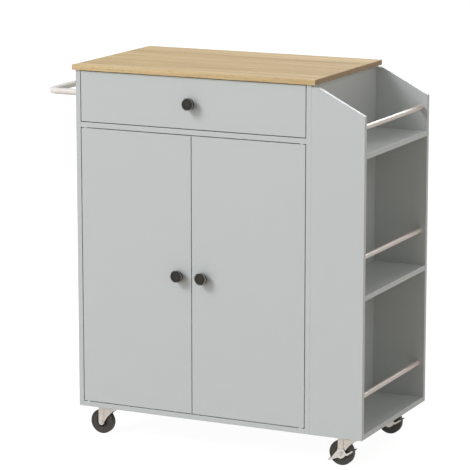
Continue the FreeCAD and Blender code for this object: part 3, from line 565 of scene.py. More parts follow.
# Finishes
@dataclass(frozen=True)
class Coat:
    """A coat of one tone with a soft mottle and a pebbled skin, by default satin paint on board.

    Attributes:
        name: The material's name.
        colour: The coat's colour.
        worn_and_lit: The colour where use has thinned an edge's coat.
        rough: Its roughness.
        mottle: How much its tone wanders.
        speckle: How many times finer its tone wanders than that of paint.
        patchy: How much its roughness wanders with its tone.
        wear: How much wear the edges show.
        dust: How much dust lies on it.
        dulled: How much rougher dust makes it.
        hollow_shade: How much painted shade lies in its hollows.
        pebble: How deep its skin is, in metres.
        relief: How strongly its skin shows.
        specular: How strongly it reflects.
        clear: The weight of the clear coat over it.
        clear_rough: The roughness of that coat.
    """

    name: str
    colour: Colour
    worn_and_lit: Colour
    rough: float = 0.42
    mottle: float = 0.035
    speckle: float = 1.0
    patchy: float = 0.16
    wear: float = 0.4
    dust: float = 0.05
    dulled: float = 0.5
    hollow_shade: float = 0.0
    pebble: float = 0.06 * MM
    relief: float = 0.55
    specular: float = 0.42
    clear: float = 0.0
    clear_rough: float = 0.03

    def make(self) -> bpy.types.Material:
        """Builds the material.

        Returns:
            The material.
        """
        surface = Surface(self.name)
        mottle = surface.use("soft_mottle", Tint=self.colour, Grain=self.speckle, Amount=self.mottle)
        rubbed_and_lit = surface.rubbed_and_lit(mottle["Tint"], self.worn_and_lit, self.wear)
        dusty_and_lit = surface.use("dust_and_top_light", Tint=rubbed_and_lit, Amount=self.dust)
        # painted shade in concave corners, where the finish has any
        tint = surface.painted_in_shade(dusty_and_lit["Tint"], self.hollow_shade) if self.hollow_shade else dusty_and_lit["Tint"]
        rough = surface.desk.weighted(
            (mottle["Mask"], self.patchy), (dusty_and_lit["Mask"], self.dulled), start=self.rough
        )
        coat = {"Coat_Weight": self.clear, "Coat_Roughness": self.clear_rough}
        surface.finish(tint, rough, Specular_IOR_Level=self.specular, **coat)
        return surface.bump(surface.use("roller_peel")["Height"], self.pebble, self.relief)


@dataclass(frozen=True)
class Enamel(Coat):
    """Baked or sprayed paint on metal."""

    rough: float = 0.35
    mottle: float = 0.05
    patchy: float = 0.2
    dust: float = 0.06
    dulled: float = 0.0
    pebble: float = 0.04 * MM
    relief: float = 0.5
    specular: float = 0.5
    clear_rough: float = 0.2


@dataclass(frozen=True)
class Moulded(Coat):
    """Moulded nylon, plastic or hard rubber."""

    rough: float = 0.5
    mottle: float = 0.08
    patchy: float = 0.3
    wear: float = 0.6
    dust: float = 0.1
    dulled: float = 0.0
    # painted shade in concave corners
    hollow_shade: float = 0.2
    pebble: float = 0.05 * MM
    relief: float = 0.6
    specular: float = 0.5


@dataclass(frozen=True)
class OakBoard:
    """Light oak with a matt oil.

    Attributes:
        name: The material's name.
        dark: The darker bands.
        light: The lighter bands.
        pore: The pores.
        end: The paler tone of the end grain.
        end_ring: The darker tone of its rings.
    """

    name: str = "light_oak"
    dark: Colour = srgb(171, 142, 96)
    light: Colour = srgb(219, 193, 148)
    pore: Colour = srgb(128, 97, 58)
    end: Colour = srgb(178, 154, 126)
    end_ring: Colour = srgb(150, 124, 98)

    def make(self) -> bpy.types.Material:
        """Builds the material.

        Returns:
            The material.
        """
        surface = Surface(self.name)
        desk = surface.desk
        oak = surface.use("oak_figure", Dark=self.dark, Light=self.light, Pore=self.pore, Pores=0.6)
        end_share = desk.ramp(desk.maths("ABSOLUTE", desk.facing(0)), (0.7, 0.0), (0.95, 0.9))
        rings = desk.drawn_noise(surface.place, (1.0, 55.0, 420.0), 4.0, 0.65)
        end = desk.mix(desk.ramp(rings, (0.36, 0.0), (0.64, 1.0)), self.end_ring, self.end)
        rubbed_and_lit = surface.rubbed_and_lit(desk.mix(end_share, oak["Tint"], end), self.light, 0.5)
        dusty_and_lit = surface.use("dust_and_top_light", Tint=rubbed_and_lit, Amount=0.03)
        rough = desk.weighted((oak["Mask"], 0.15), start=0.6)
        surface.finish(dusty_and_lit["Tint"], rough, Specular_IOR_Level=0.2)
        return surface.bump(oak["Height"], 0.12 * MM, 0.5)


@dataclass(frozen=True)
class PlatedSteel:
    """Zinc or nickel plate on pressed steel.

    Attributes:
        name: The material's name.
        colour: The plate's colour.
        worn_and_lit: The colour where use has scuffed an edge bright.
        rough: Its roughness.
        cloud: How cloudy the plate is.
        metallic: How metallic it is.
    """

    name: str
    colour: Colour
    worn_and_lit: Colour
    rough: float = 0.38
    cloud: float = 0.3
    metallic: float = 0.85

    def make(self) -> bpy.types.Material:
        """Builds the material.

        Returns:
            The material.
        """
        surface = Surface(self.name)
        metal = surface.use("drawn_metal", Tint=self.colour, Amount=self.cloud)
        # edge wear, then painted shade in concave corners and on the faces marked for it
        painted_in_shade = surface.painted_in_shade(surface.rubbed_and_lit(metal["Tint"], self.worn_and_lit, 0.7), 0.75)
        dusty_and_lit = surface.use("dust_and_top_light", Tint=painted_in_shade, Amount=0.12)
        rough = surface.desk.weighted((metal["Mask"], 0.25), start=self.rough - 0.12)
        surface.finish(dusty_and_lit["Tint"], rough, Metallic=self.metallic)
        return surface.bump(metal["Height"], 0.02 * MM, 0.4)


@dataclass(frozen=True)
class TurnedMetal:
    """Dark plated metal, turned on a lathe: a finely ringed face inside a polished lip, with painted
    highlights on the lip and the top and painted shade on the head's side.

    Attributes:
        name: The material's name.
        colour: The plate's colour.
        lip: The lighter colour of the polished lip, which also stands in for its highlight.
        rough: The roughness of the face.
        polish: How much smoother the lip is.
    """

    name: str = "gunmetal_knob"
    colour: Colour = srgb(50, 47, 43)
    lip: Colour = srgb(142, 137, 131)
    rough: float = 0.40
    polish: float = 0.22

    def make(self) -> bpy.types.Material:
        """Builds the material.

        Returns:
            The material.
        """
        surface = Surface(self.name)
        desk = surface.desk
        turned = surface.use("turned_lines", Tint=self.colour, Reach=desk.layer("reach"), Amount=4.0)
        # a lighter lip as a painted highlight, then painted shade on the head's side and in the groove
        # inside the lip
        painted_in_shade = surface.painted_in_shade(surface.rubbed_and_lit(turned["Tint"], self.lip, 0.9), 0.9)
        # strong dust that paints a highlight on the knob's top
        dusty_and_lit = surface.use("dust_and_top_light", Tint=painted_in_shade, Amount=0.8)
        rough = desk.weighted((surface.edge, -self.polish), start=self.rough)
        surface.finish(dusty_and_lit["Tint"], rough, Metallic=0.85, Coat_Weight=0.25, Coat_Roughness=0.1)
        return surface.bump(turned["Height"], 0.05 * MM, 0.35)


@dataclass(frozen=True)
class PressedFibre:
    """The back panel and drawer bottom: hardboard with a painted face.

    Attributes:
        name: The material's name.
        colour: The painted face.
        fleck: The darker fibres that show through.
    """

    name: str = "painted_hardboard"
    colour: Colour = srgb(196, 200, 197)
    fleck: Colour = srgb(168, 170, 166)

    def make(self) -> bpy.types.Material:
        """Builds the material.

        Returns:
            The material.
        """
        surface = Surface(self.name)
        desk = surface.desk
        mottle = surface.use("soft_mottle", Tint=self.colour, Amount=0.06)
        fibres = desk.drawn_noise(surface.place, (260.0, 260.0, 90.0), 4.0, 0.7)
        share = desk.ramp(fibres, (0.60, 0.0), (0.80, 0.5))
        surface.finish(desk.mix(share, mottle["Tint"], self.fleck), 0.62)
        return surface.bump(fibres, 0.10 * MM, 0.5)


# The finish of each slot in the record, and of each node whose finish differs from its slot's
FINISH_PLANS = {
    "grey_painted_board": Coat("pale_grey_paint", srgb(194, 198, 198), srgb(219, 221, 219)),
    "drawer_board": Coat("drawer_foil", srgb(198, 200, 198), srgb(220, 221, 219), 0.5, 0.03),
    "oak_worktop": OakBoard(),
    "hardboard": PressedFibre(),
    # One off-white paint in two copies: a darker, pinker one for the rails that paints in the shade inside
    # the rack, and a whiter one for the towel bar that paints in the light falling on it
    "white_painted_tube": Enamel(
        "off_white_enamel", srgb(223, 208, 200), srgb(238, 231, 226), 0.34, clear=0.2
    ),
    "towel_bar": Enamel("white_enamel", srgb(230, 224, 219), srgb(240, 236, 232), 0.55),
    "runner_steel": Enamel("white_baked_steel", srgb(222, 222, 218), srgb(190, 190, 188), 0.34),
    "beech": OakBoard("beech_dowel", srgb(190, 150, 104), srgb(214, 178, 130), srgb(160, 116, 74)),
    "zinc_hardware": PlatedSteel("bright_zinc", srgb(196, 196, 192), srgb(226, 226, 222), 0.30),
    "caster_steel": PlatedSteel(
        "caster_plate_steel", srgb(203, 194, 186), srgb(234, 229, 223), 0.40, 0.5, 0.6
    ),
    "axle_steel": PlatedSteel("axle_steel", srgb(188, 184, 178), srgb(224, 220, 214), 0.34),
    "brake_steel": PlatedSteel("brake_steel", srgb(203, 196, 189), srgb(234, 229, 223), 0.38, 0.5, 0.6),
    "dark_knob_metal": TurnedMetal(),
    "white_nylon": Moulded("white_nylon", srgb(226, 226, 221), srgb(238, 238, 234), 0.42, 0.04),
    "catch_plastic": Moulded("catch_plastic", srgb(214, 214, 209), srgb(232, 232, 228)),
    # strong painted shade in the ring round the hub and in concave corners
    "wheel_rubber": Moulded(
        "grey_hard_rubber", srgb(55, 50, 43), srgb(86, 80, 72), 0.6, 1.7, 7.0,
        dust=0.08, hollow_shade=0.95, pebble=0.12 * MM,
    ),
}


@dataclass
class FinishRack:
    """The finishes on the island, each made when it is first asked for.

    Attributes:
        made: The materials made so far, by their keys in FINISH_PLANS.
    """

    made: dict = field(default_factory=dict)

    def get(self, node: str) -> bpy.types.Material:
        """The material of a CAD node.

        Args:
            node: The node.

        Returns:
            Its material.
        """
        key = node if node in FINISH_PLANS else NODE_SLOT[node]
        if key not in self.made:
            self.made[key] = FINISH_PLANS[key].make()
        return self.made[key]


FINISHES = FinishRack()


# Meshes
def merged_copy(node: str) -> WorkMesh:
    """A copy of a CAD node's mesh, joined up and with its flat faces whole.

    Args:
        node: The CAD node.

    Returns:
        The new mesh.
    """
    shape = bmesh.new()
    shape.from_mesh(frame["nodes"][node].data)
    bmesh.ops.remove_doubles(shape, verts=shape.verts, dist=SAME_POINT)
    bmesh.ops.dissolve_limit(
        shape, angle_limit=FLAT_TURN, verts=shape.verts, edges=shape.edges, delimit={"NORMAL"}
    )
    return shape


def edge_and_shade_layers(shape: WorkMesh) -> tuple:
    """The two vertex layers that the finishes read: edge wear, which on the knobs is a painted lip
    highlight, and painted shade.
    """
    layers = shape.verts.layers.float
    return tuple(layers.get(name) or layers.new(name) for name in ("edge", "hollow"))


def is_sharp(edge: bmesh.types.BMEdge) -> bool:
    """Whether an edge between two faces is sharp enough to be rounded."""
    return edge.is_manifold and edge.calc_face_angle(0.0) > SHARP_TURN


def round_edges(shape: WorkMesh, edges: list, width: float, steps: int) -> list:
    """Rounds some edges of a mesh.

    Args:
        shape: The mesh.
        edges: The edges.
        width: The width of the rounding, in metres.
        steps: How many faces go across it.

    Returns:
        The vertices that lie on the rounded strips alone.
    """
    made = bmesh.ops.bevel(
        shape,
        geom=edges,
        offset=width,
        offset_type="OFFSET",
        segments=steps,
        profile=0.5,
        affect="EDGES",
        clamp_overlap=True,
        material=-1,
    )
    strip = set(made["faces"])
    return [
        vert
        for vert in made["verts"]
        if vert.is_valid and all(face in strip for face in vert.link_faces)
    ]


def soften(shape: WorkMesh, width: float, shortest: float = 0.0, steps: int = 3) -> None:
    """Rounds the sharp edges of a mesh and marks the convex rounded strips for edge wear and the concave
    ones for painted shade.

    Args:
        shape: The mesh.
        width: The width of the rounding, in metres.
        shortest: Edges shorter than this stay sharp.
        steps: How many faces go across a rounding.
    """
    worn_and_lit, hollow = edge_and_shade_layers(shape)
    sharp = [edge for edge in shape.edges if edge.calc_length() > shortest and is_sharp(edge)]
    if not sharp:
        return
    for vert in round_edges(shape, sharp, width, steps):
        # convex strips get edge wear, concave strips get painted shade
        bend = sum(edge.calc_face_angle_signed(0.0) for edge in vert.link_edges if edge.is_manifold)
        vert[worn_and_lit if bend > 0 else hollow] = 1.0


def shade(shape: WorkMesh) -> None:
    """Smooths a mesh's faces and keeps its sharp edges.

    Args:
        shape: The mesh.
    """
    for face in shape.faces:
        face.smooth = True
    for edge in shape.edges:
        edge.smooth = edge.calc_face_angle(0.0) < SHADED_TURN


def spun(profile: Sequence[tuple[float, float]], steps: int) -> WorkMesh:
    """A profile turned once round the Z axis.

    Args:
        profile: Points as radius and height, in a loop or from the axis back to the axis.
        steps: How many steps go round.

    Returns:
        The closed mesh.
    """
    shape = bmesh.new()
    verts = [shape.verts.new((radius, 0.0, height)) for radius, height in profile]
    edges = [shape.edges.new(pair) for pair in zip(verts, verts[1:])]
    bmesh.ops.spin(
        shape,
        geom=verts + edges,
        cent=(0, 0, 0),
        axis=(0, 0, 1),
        angle=math.tau,
        steps=steps,
        use_merge=True,
        use_duplicate=False,
    )
    bmesh.ops.remove_doubles(shape, verts=shape.verts, dist=SAME_POINT)
    bmesh.ops.recalc_face_normals(shape, faces=shape.faces)
    return shape


def islands(shape: WorkMesh) -> list[list[bmesh.types.BMVert]]:
    """The separate shells of a mesh.

    Args:
        shape: The mesh.

    Returns:
        Each shell's vertices.
    """
    seen: set = set()
    found = []
    for start in shape.verts:
        if start in seen:
            continue
        seen.add(start)
        shell = [start]
        for vert in shell:
            for edge in vert.link_edges:
                other = edge.other_vert(vert)
                if other not in seen:
                    seen.add(other)
                    shell.append(other)
        found.append(shell)
    return found


def span(shell: Sequence[bmesh.types.BMVert]) -> tuple[Vector, Vector]:
    """The lowest and the highest corner of the box round a shell."""
    low, high = (Vector([pick(vert.co[i] for vert in shell) for i in range(3)]) for pick in (min, max))
    return low, high


def add_copy(target: WorkMesh, source: WorkMesh, place: Matrix = Matrix.Identity(4)) -> None:
    """Adds a placed copy of one mesh to another.

    Args:
        target: The mesh that grows.
        source: The mesh that is copied.
        place: Where the copy goes.
    """
    holder = bpy.data.meshes.new("holder")
    source.to_mesh(holder)
    holder.transform(place)
    target.from_mesh(holder)
    bpy.data.meshes.remove(holder)


def new_object(name: str, data: object) -> bpy.types.Object:
    """Puts a new object in the scene, at the origin.

    Args:
        name: The object's name.
        data: Its mesh, lamp or camera.

    Returns:
        The object.
    """
    made = bpy.data.objects.new(name, data)
    bpy.context.scene.collection.objects.link(made)
    return made


def mesh_object(name: str, shape: WorkMesh, material: bpy.types.Material) -> bpy.types.Object:
    """Puts a finished mesh in the scene and frees the working one.

    Args:
        name: The object's name.
        shape: The working mesh.
        material: Its material.

    Returns:
        The object.
    """
    mesh = bpy.data.meshes.new(name)
    shape.to_mesh(mesh)
    shape.free()
    mesh.materials.append(material)
    return new_object(name, mesh)


@dataclass
class Piece:
    """A finished piece that stands for a CAD node.

    Attributes:
        name: The piece's name.
        node: The node that it stands for.
        shape: Its mesh.
    """

    name: str
    node: str
    shape: WorkMesh

    def place(self) -> None:
        """Makes the object, with its finish and the body that it rides on."""
        shade(self.shape)
        piece = mesh_object(self.name, self.shape, FINISHES.get(self.node))
        weighted = piece.modifiers.new("even_shading", "WEIGHTED_NORMAL")
        weighted.keep_sharp = True
        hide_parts(self.node)
        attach(piece, NODE_BODY[self.node])
        log.info("%s: %d faces", self.name, len(piece.data.polygons))


def softened_piece(name: str, node: str, width: float, shortest: float = 0.0, steps: int = 3) -> None:
    """Places a CAD node's own shape with its sharp edges rounded.

    Args:
        name: The piece's name.
        node: The CAD node.
        width: The width of the rounding.
        shortest: Edges shorter than this stay sharp.
        steps: How many faces go across a rounding.
    """
    shape = merged_copy(node)
    soften(shape, width, shortest, steps)
    Piece(name, node, shape).place()


# Fasteners
@dataclass(frozen=True)
class ScrewShape:
    """A pan-head screw with a cross recess, its seat at the origin and its head up.

    Attributes:
        head_radius: The head's radius.
        head_height: The head's height.
        shank_radius: The shank's radius.
        shank_length: The shank's length.
        top_share: The radius of the head's flat top, as a share of the head's.
        side_shares: The head's side below its top, as shares of its radius and height.
        head_steps: How many steps go round the head.
        arm_length_share: The recess arm's reach, as a share of the head's radius.
        arm_width_share: The recess arm's width, as a share of the head's radius.
        recess_share: The recess depth, as a share of the head's height.
        recess_taper: The size of the recess's bottom, as a share of its top.
        root_share: The shank's radius between its ridges, as a share of the whole.
        tip_share: The length of the shank's point, as a share of the whole.
        thread_turns: How many ridges the shank has.
        shank_steps: How many steps go round the shank.
    """

    head_radius: float
    head_height: float
    shank_radius: float
    shank_length: float
    top_share: float = 0.7
    side_shares: tuple[tuple[float, float], ...] = ((0.90, 0.16), (1.0, 0.52), (1.0, 1.0))
    head_steps: int = 28
    arm_length_share: float = 0.56
    arm_width_share: float = 0.17
    recess_share: float = 0.55
    recess_taper: float = 0.6
    root_share: float = 0.78
    tip_share: float = 0.12
    thread_turns: int = 8
    shank_steps: int = 14

    def shank(self) -> WorkMesh:
        """The ridged shank with its pointed end.

        Returns:
            The shank's mesh.
        """
        root = self.shank_radius * self.root_share
        tip = self.shank_length * self.tip_share
        pitch = (self.shank_length - tip) / self.thread_turns
        profile = [(0.0, 0.0), (root, 0.0)]
        for turn in range(self.thread_turns):
            profile.append((self.shank_radius, -(turn + 0.5) * pitch))
            profile.append((root, -(turn + 1.0) * pitch))
        profile.append((0.0, -self.shank_length))
        return spun(profile, self.shank_steps)

    def head(self) -> WorkMesh:
        """The domed head with a cross sunk into its top.

        Returns:
            The head's mesh.
        """
        shape = bmesh.new()
        top = self.head_radius * self.top_share
        rim = bmesh.ops.create_circle(shape, cap_ends=False, radius=top, segments=self.head_steps)["verts"]
        reach = self.head_radius * self.arm_length_share
        half = self.head_radius * self.arm_width_share / 2
        corners = []
        for quarter in range(4):
            spin = Matrix.Rotation(quarter * math.pi / 2, 3, "Z")
            for x, y in ((half, half), (reach, half), (reach, -half)):
                corners.append(shape.verts.new(spin @ Vector((x, y, 0.0))))
        corners.sort(key=lambda vert: math.atan2(vert.co.y, vert.co.x))
        ring = [shape.edges.new((corners[i - 1], corners[i])) for i in range(len(corners))]
        outer = list({edge for vert in rim for edge in vert.link_edges})
        bmesh.ops.triangle_fill(shape, use_beauty=True, use_dissolve=False, edges=outer + ring)
        cross = shape.faces.new(corners)
        sunk = bmesh.ops.extrude_face_region(shape, geom=[cross])["geom"]
        lowered = [item for item in sunk if isinstance(item, bmesh.types.BMVert)]
        bmesh.ops.translate(shape, vec=(0, 0, -self.head_height * self.recess_share), verts=lowered)
        bmesh.ops.scale(shape, vec=(self.recess_taper, self.recess_taper, 1.0), verts=lowered)
        if cross.is_valid:
            bmesh.ops.delete(shape, geom=[cross], context="FACES_ONLY")
        side = [edge for edge in outer if edge.is_valid]
        for radius_share, drop_share in self.side_shares:
            grown = bmesh.ops.extrude_edge_only(shape, edges=side)["geom"]
            verts = [item for item in grown if isinstance(item, bmesh.types.BMVert)]
            side = [item for item in grown if isinstance(item, bmesh.types.BMEdge)]
            for vert in verts:
                flat = Vector((vert.co.x, vert.co.y, 0.0)).normalized() * self.head_radius * radius_share
                vert.co = Vector((flat.x, flat.y, -self.head_height * drop_share))
        bmesh.ops.holes_fill(shape, edges=side, sides=0)
        bmesh.ops.translate(shape, vec=(0, 0, self.head_height), verts=shape.verts)
        bmesh.ops.recalc_face_normals(shape, faces=shape.faces)
        return shape

    def build(self) -> WorkMesh:
        """The whole screw.

        Returns:
            The screw's mesh.
        """
        whole = bmesh.new()
        for part in (self.head(), self.shank()):
            add_copy(whole, part)
            part.free()
        return whole


@dataclass(frozen=True)
class ScrewPlace:
    """Where a screw sits.

    Attributes:
        screw: The screw, with its sizes rounded so that equal screws share one mesh.
        matrix: The place of the screw as it is drawn, with its head up.
    """

    screw: ScrewShape
    matrix: Matrix

    @staticmethod
    def read(shell: Sequence[bmesh.types.BMVert]) -> "Optional[ScrewPlace]":
        """Finds a screw's shape and place from its own vertices.

        Args:
            shell: The screw's vertices.

        Returns:
            Its place, or None where the shell isn't a headed screw.
        """
        end_depth = 0.1 * MM
        head_overhang = 0.3 * MM
        points = [vert.co for vert in shell]
        low, high = span(shell)
        size = high - low
        middle = (low + high) / 2
        along = max(range(3), key=lambda i: size[i])
        others = [i for i in range(3) if i != along]

        def radius(point: Vector) -> float:
            """A point's distance from the screw's axis."""
            return math.hypot(*(point[i] - middle[i] for i in others))

        near = max(radius(p) for p in points if p[along] < low[along] + end_depth)
        far = max(radius(p) for p in points if p[along] > high[along] - end_depth)
        if abs(near - far) < head_overhang:
            return None
        shank_radius, head_radius = sorted((near, far))
        edge = low[along] if near > far else high[along]
        halfway = (head_radius + shank_radius) / 2
        head_height = max(abs(p[along] - edge) for p in points if radius(p) > halfway)
        out = Vector((0, 0, 0))
        out[along] = -1.0 if near > far else 1.0
        seat = middle.copy()
        seat[along] = edge
        seat -= out * head_height
        sizes = (head_radius, head_height, shank_radius, size[along] - head_height)
        screw = ScrewShape(*(round(value / MM, 2) * MM for value in sizes))
        return ScrewPlace(screw, Matrix.Translation(seat) @ out.to_track_quat("Z", "Y").to_matrix().to_4x4())


def fastener_piece(name: str, node: str) -> None:
    """Places a node of fasteners: screws with cross recesses, and other pieces with softened edges.

    Args:
        name: The piece's name.
        node: The CAD node.
    """
    shape = merged_copy(node)
    places = []
    for shell in islands(shape):
        place = ScrewPlace.read(shell)
        if place is not None:
            places.append(place)
            bmesh.ops.delete(shape, geom=shell, context="VERTS")
    soften(shape, METALWORK_ROUNDING, steps=2)
    whole = bmesh.new()
    edge_and_shade_layers(whole)
    add_copy(whole, shape)
    shape.free()
    patterns: dict = {}
    for place in places:
        if place.screw not in patterns:
            patterns[place.screw] = place.screw.build()
        add_copy(whole, patterns[place.screw], place.matrix)
    for pattern in patterns.values():
        pattern.free()
    Piece(name, node, whole).place()


# Sub-assemblies
@dataclass
class OakTop:
    """The oak worktop.

    Attributes:
        rounding: The rounding along its edges.
        shortest: Edges shorter than this stay sharp.
    """

    rounding: float = 0.7 * MM
    shortest: float = 3 * MM

    def build(self) -> None:
        """Makes the worktop."""
        softened_piece("oak_top", "worktop", self.rounding, self.shortest)


@dataclass
class Carcass:
    """The cupboard's fixed boards, its thin back and its loose shelf.

    Attributes:
        rounding: The rounding along the boards' edges.
        back_rounding: The rounding along the thin back's edges.
        shortest: Edges shorter than this, such as those of holes, stay sharp.
        boards: The boards of full thickness, as CAD nodes and the names of their pieces.
    """

    rounding: float = BOARD_ROUNDING
    back_rounding: float = BOARD_ROUNDING / 3
    shortest: float = HOLE_EDGE
    boards: tuple[tuple[str, str], ...] = (
        ("left_side_panel", "left_side"),
        ("right_side_panel", "right_side"),
        ("bottom_board", "cupboard_floor"),
        ("divider_board", "drawer_divider"),
        ("back_stretcher", "back_rail"),
        ("cupboard_shelf", "loose_shelf"),
    )

    def build(self) -> None:
        """Makes the boards."""
        for node, name in self.boards:
            softened_piece(name, node, self.rounding, self.shortest)
        softened_piece("thin_back", "back_panel", self.back_rounding, self.shortest)


@dataclass
class SideRack:
    """The open rack on the right-hand side.

    Attributes:
        rounding: The rounding along the boards' edges.
        bar_rounding: The rounding along the bars' edges.
        shortest: Edges shorter than this stay sharp.
        rim: How close to a panel's outline an edge of the outline is.
        shoulder_share: How far a panel's top falls to its outer corner, as a share of its height.
    """

    rounding: float = 0.6 * MM
    bar_rounding: float = 0.5 * MM
    shortest: float = HOLE_EDGE
    rim: float = 0.5 * MM
    shoulder_share: float = 0.09

    def build(self) -> None:
        """Makes the panels, shelves and rails."""
        for end in ("front", "rear"):
            self.panel(end)
        for level in ("bottom", "middle", "top"):
            softened_piece(f"rack_{level}_board", f"rack_{level}_shelf", self.rounding, self.shortest)
            softened_piece(f"rack_{level}_bar", f"rack_{level}_rail", self.bar_rounding)

    def panel(self, end: str) -> None:
        """Makes an end panel, with its outline rounded and its rail holes sharp.

        Args:
            end: The end that it stands at.
        """
        node = f"rack_{end}_panel"
        shape = merged_copy(node)
        low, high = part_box(node)
        worn_and_lit = edge_and_shade_layers(shape)[0]
        outline = [edge for edge in shape.edges if is_sharp(edge) and self.in_outline(edge, low, high)]
        for vert in round_edges(shape, outline, self.rounding, steps=3):
            vert[worn_and_lit] = 1.0
        Piece(f"rack_{end}_end", node, shape).place()

    def in_outline(self, edge: bmesh.types.BMEdge, low: Vector, high: Vector) -> bool:
        """Whether an edge belongs to the panel's outline.

        Args:
            edge: The edge.
            low: The panel's lowest corner.
            high: The panel's highest corner.

        Returns:
            True for a long edge, and for one on a face that isn't well inside and below the shoulder.
        """
        if edge.calc_length() > self.shortest:
            return True
        on_face = 0.01 * MM
        in_front = all(vert.co.y < low.y + on_face for vert in edge.verts)
        behind = all(vert.co.y > high.y - on_face for vert in edge.verts)
        middle = (edge.verts[0].co + edge.verts[1].co) / 2
        inside = low.x + self.rim < middle.x < high.x - self.rim and low.z + self.rim < middle.z
        fall = (middle.x - low.x) / (high.x - low.x) * self.shoulder_share
        return (in_front or behind) and not (inside and middle.z < high.z - fall * (high.z - low.z))


@dataclass
class TowelBar:
    """The bent tube on the left-hand side and its screws.

    Attributes:
        rounding: The rounding of the tube's edges.
    """

    rounding: float = 0.3 * MM

    def build(self) -> None:
        """Makes the tube and the screws."""
        softened_piece("towel_tube", "towel_bar", self.rounding)
        fastener_piece("towel_tube_screws", "towel_bar_screws")


@dataclass
class Knob:
    """A turned knob: a foot, a waist and a head with a sunk face inside its lip.

    Attributes:
        node: The CAD node that it stands for.
        name: The piece's name.
        outline: Its outline below the lip, as shares of the head's radius and the whole height.
        neck_height_share: Where the head starts, as a share of the whole height.
        lip_share: The radius of the lip's rounding, as a share of the head's.
        lip_steps: How many steps go round the lip.
        lip_width: How wide the polished lip with its painted highlight is, in lip roundings.
        face_inset: How far from the head's side the sunk face starts, in lip roundings.
        groove_inset: How far in from the head's side the painted shade reaches, in lip roundings.
        face_drop: How deep the face is sunk.
        steps: How many steps go round.
    """

    node: str
    name: str
    outline: tuple[tuple[float, float], ...] = (
        (0.0, 0.0),
        (0.53, 0.0),
        (0.53, 0.07),
        (0.33, 0.17),
        (0.33, 0.44),
        (0.47, 0.50),
        (0.94, 0.59),
        (1.0, 0.68),
    )
    neck_height_share: float = 0.50
    lip_share: float = 0.08
    lip_steps: int = 8
    lip_width: float = 1.9
    face_inset: float = 2.2
    groove_inset: float = 2.3
    face_drop: float = 0.6 * MM
    steps: int = 96

    def profile(self, radius: float, tall: float) -> list[tuple[float, float]]:
        """The knob's outline as radius and height, from the foot to the middle of its face.

        Args:
            radius: The head's radius.
            tall: The whole height.

        Returns:
            The outline's points.
        """
        lip = radius * self.lip_share
        points = [(radius * out, tall * up) for out, up in self.outline]
        for step in range(self.lip_steps + 1):
            angle = math.pi * step / self.lip_steps
            points.append((radius - lip + lip * math.cos(angle), tall - lip + lip * math.sin(angle)))
        points.append((radius - self.face_inset * lip, tall - max(lip, self.face_drop)))
        points.append((0.0, tall - self.face_drop))
        return points

    def build(self) -> None:
        """Makes the knob, with its lip marked for a lighter colour that paints in a highlight, and the
        head's side and the groove inside the lip marked for painted shade.
        """
        low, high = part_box(self.node)
        radius = (high.x - low.x) / 2
        tall = high.y - low.y
        shape = spun(self.profile(radius, tall), self.steps)
        worn_and_lit, hollow = edge_and_shade_layers(shape)
        reach = shape.verts.layers.float.new("reach")
        lip = radius * self.lip_share
        lip_foot = tall - lip * 0.99
        for vert in shape.verts:
            out = math.hypot(vert.co.x, vert.co.y)
            vert[reach] = out / radius
            # the lip takes the lighter colour of a painted highlight; the head's side and the groove inside
            # the lip take painted shade
            if vert.co.z > lip_foot and out > radius - self.lip_width * lip:
                vert[worn_and_lit] = 1.0
            elif vert.co.z > tall * self.neck_height_share and out > radius - self.groove_inset * lip:
                vert[hollow] = 1.0
        turn = Matrix.Rotation(math.pi / 2, 4, "X")
        middle = Vector(((low.x + high.x) / 2, high.y, (low.z + high.z) / 2))
        bmesh.ops.transform(shape, matrix=Matrix.Translation(middle) @ turn, verts=shape.verts)
        Piece(self.name, self.node, shape).place()


@dataclass
class Door:
    """A door with its knob, pivot pins and strike plate.

    Attributes:
        hand: The side that it is hinged on.
        rounding: The rounding along its edges.
        shortest: Edges shorter than this stay sharp.
    """

    hand: Hand
    rounding: float = BOARD_ROUNDING
    shortest: float = HOLE_EDGE

    def build(self) -> None:
        """Makes the door and what it carries."""
        side = self.hand.value
        softened_piece(f"{side}_door_board", f"{side}_door", self.rounding, self.shortest)
        Knob(f"{side}_door_knob", f"{side}_door_turned_knob").build()
        fastener_piece(f"{side}_door_metalwork", f"{side}_door_fittings")


@dataclass
class Drawer:
    """The drawer and its runners: front, box, knob, rails, rollers and fixings.

    Attributes:
        rounding: The rounding of its front's edges.
        box_rounding: The rounding of its box's edges.
        floor_rounding: The rounding of its floor's edges.
        rail_rounding: The rounding of the rails' edges.
        roller_rounding: The rounding of the rollers' edges.
        shortest: Edges of boards shorter than this stay sharp.
        floor_shortest: Edges of its floor shorter than this stay sharp.
    """

    rounding: float = BOARD_ROUNDING
    box_rounding: float = BOARD_ROUNDING / 2
    floor_rounding: float = BOARD_ROUNDING / 4
    rail_rounding: float = 0.15 * MM
    roller_rounding: float = 0.5 * MM
    shortest: float = HOLE_EDGE
    floor_shortest: float = 2 * MM

    def build(self) -> None:
        """Makes the drawer."""
        softened_piece("drawer_face", "drawer_front", self.rounding, self.shortest)
        for node in ("drawer_left_side", "drawer_right_side", "drawer_back"):
            softened_piece(f"{node}_board", node, self.box_rounding, self.shortest)
        softened_piece("drawer_floor", "drawer_bottom", self.floor_rounding, self.floor_shortest)
        Knob("drawer_knob", "drawer_turned_knob").build()
        fastener_piece("drawer_metalwork", "drawer_fixings")
        for side in (hand.value for hand in Hand):
            for owner in ("drawer", "cabinet"):
                softened_piece(f"{owner}_runner_{side}", f"{owner}_rail_{side}", self.rail_rounding, steps=2)
                softened_piece(f"{owner}_wheel_{side}", f"{owner}_roller_{side}", self.roller_rounding)


